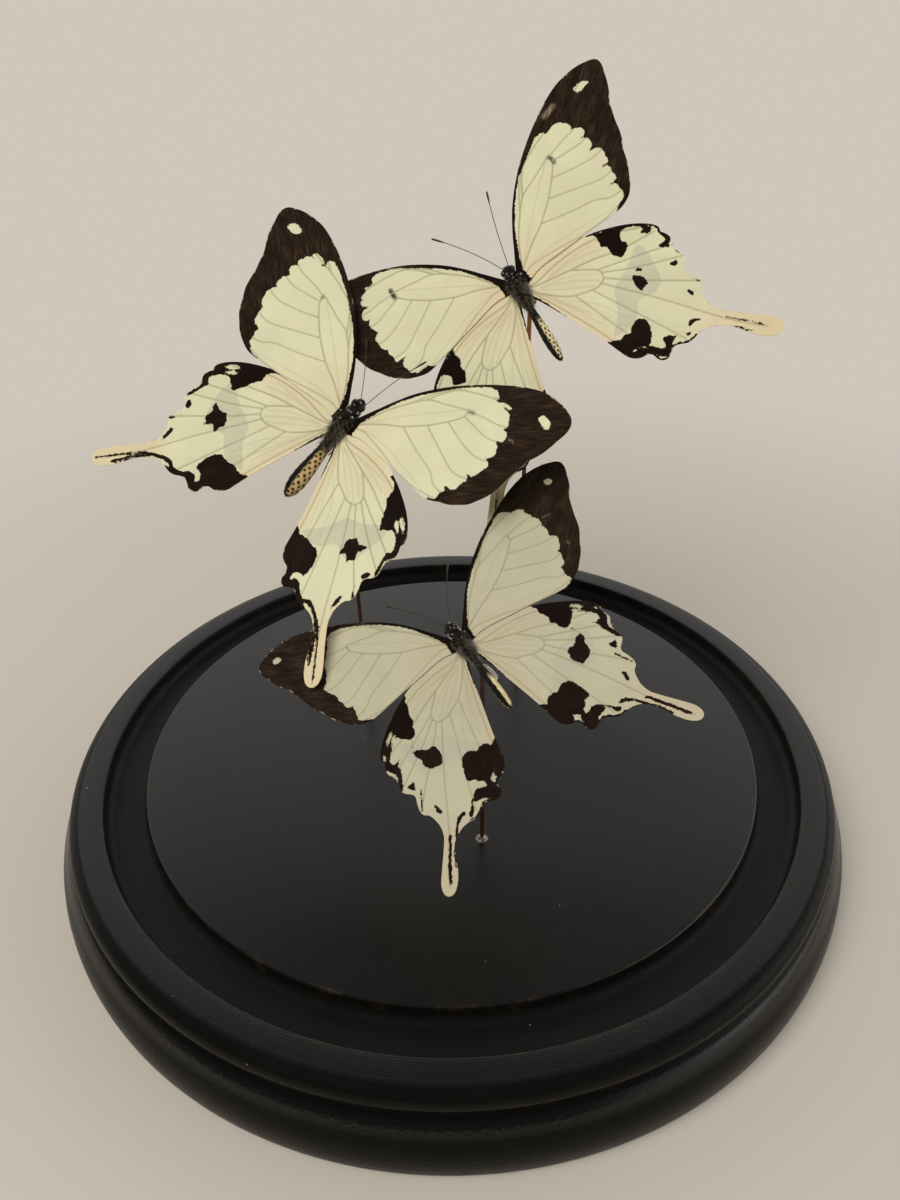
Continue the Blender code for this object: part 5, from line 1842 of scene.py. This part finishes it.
def set_camera():
    lens = bpy.data.cameras.new("camera")
    lens.lens = CAMERA_LENS
    lens.sensor_width = 36.0
    lens.sensor_fit = "AUTO"
    lens.clip_start = 0.01
    camera = bpy.data.objects.new("camera", lens)
    bpy.context.collection.objects.link(camera)
    forward = Vector((math.sin(CAMERA_PAN) * math.cos(CAMERA_PITCH),
                      math.cos(CAMERA_PAN) * math.cos(CAMERA_PITCH), -math.sin(CAMERA_PITCH)))
    level = Vector((math.cos(CAMERA_PAN), -math.sin(CAMERA_PAN), 0.0))
    upright = level.cross(forward)
    cos, sin = math.cos(CAMERA_ROLL), math.sin(CAMERA_ROLL)
    right = level * cos + upright * sin
    up = upright * cos - level * sin
    turn = Matrix((right, up, -forward)).transposed()
    camera.matrix_world = Matrix.Translation(CAMERA_PLACE) @ turn.to_4x4()
    bpy.context.scene.camera = camera
    bpy.context.scene.view_settings.view_transform = "Standard"


def main():
    set_camera()
    set_stage()
    make_base(black_lacquer())
    veins = vein_material()
    # Cream and warm tones of each butterfly's wings. The low butterfly's are painted darker than the
    # others': painted shade, as less light falls on it.
    wing_tones_with_shade = {
        "low": ((0.560, 0.530, 0.380), (0.58, 0.475, 0.325)),
        "middle": ((0.775, 0.755, 0.515), (0.77, 0.600, 0.360)),
        "high": ((0.755, 0.735, 0.500), (0.77, 0.585, 0.365)),
    }
    dark, brown = (0.0085, 0.0045, 0.0028), (0.066, 0.040, 0.0230)
    wing_materials = {}
    for name, (cream, warm) in wing_tones_with_shade.items():
        upper = wing_material(f"{name}_wing_upperside", cream, warm, dark, brown, False)
        under = wing_material(f"{name}_wing_underside", cream, warm, dark, (0.10, 0.062, 0.034), True)
        wing_materials[name] = (upper, under, veins)
    flanks = {
        "low": ((0.76, 0.61, 0.33), (0.90, 0.80, 0.52)),
        "middle": ((0.56, 0.40, 0.165), (0.74, 0.57, 0.29)),
        "high": ((0.64, 0.56, 0.30), (0.84, 0.77, 0.47)),
    }
    body_materials = {"eye": eye_material(), "horn": horn_material()}
    patterns = {
        kind: make_wing(f"{kind}_pattern", facts[0], facts[1]) for kind, facts in WING_KINDS.items()
    }
    rod = rod_material()
    glue = glue_material("clear_glue", (0.66, 0.52, 0.42), (0.86, 0.76, 0.67), 0.90)
    milky_glue = glue_material("milky_glue", (0.66, 0.53, 0.45), (0.92, 0.83, 0.76), 0.72)
    chance = np.random.default_rng(7)
    number = 0
    for name in SPECIMENS:
        for kind in WING_KINDS:
            for side in ("left", "right"):
                number += 1
                set_wing(patterns[kind], kind, name, side, number, wing_materials[name])
        body_materials["body"] = body_material(name, *flanks[name])
        make_body(name, body_materials, number)
        for side in ("left", "right"):
            make_antenna(name, side, body_materials["horn"])
        make_rod(name, rod, chance)
        make_foot_glue(name, glue, chance)
    make_top_glue("low", milky_glue, (1.3, -2.7, 1.6), (0.8, 2.5, 0.9))
    make_top_glue("middle", milky_glue, (0.0, 0.0, 0.2), (1.3, 1.6, 0.9))
    make_top_glue("high", milky_glue, (0.0, 0.0, 0.2), (1.3, 1.6, 0.9))
    for pattern in patterns.values():
        bpy.data.objects.remove(pattern, do_unlink=True)


main()
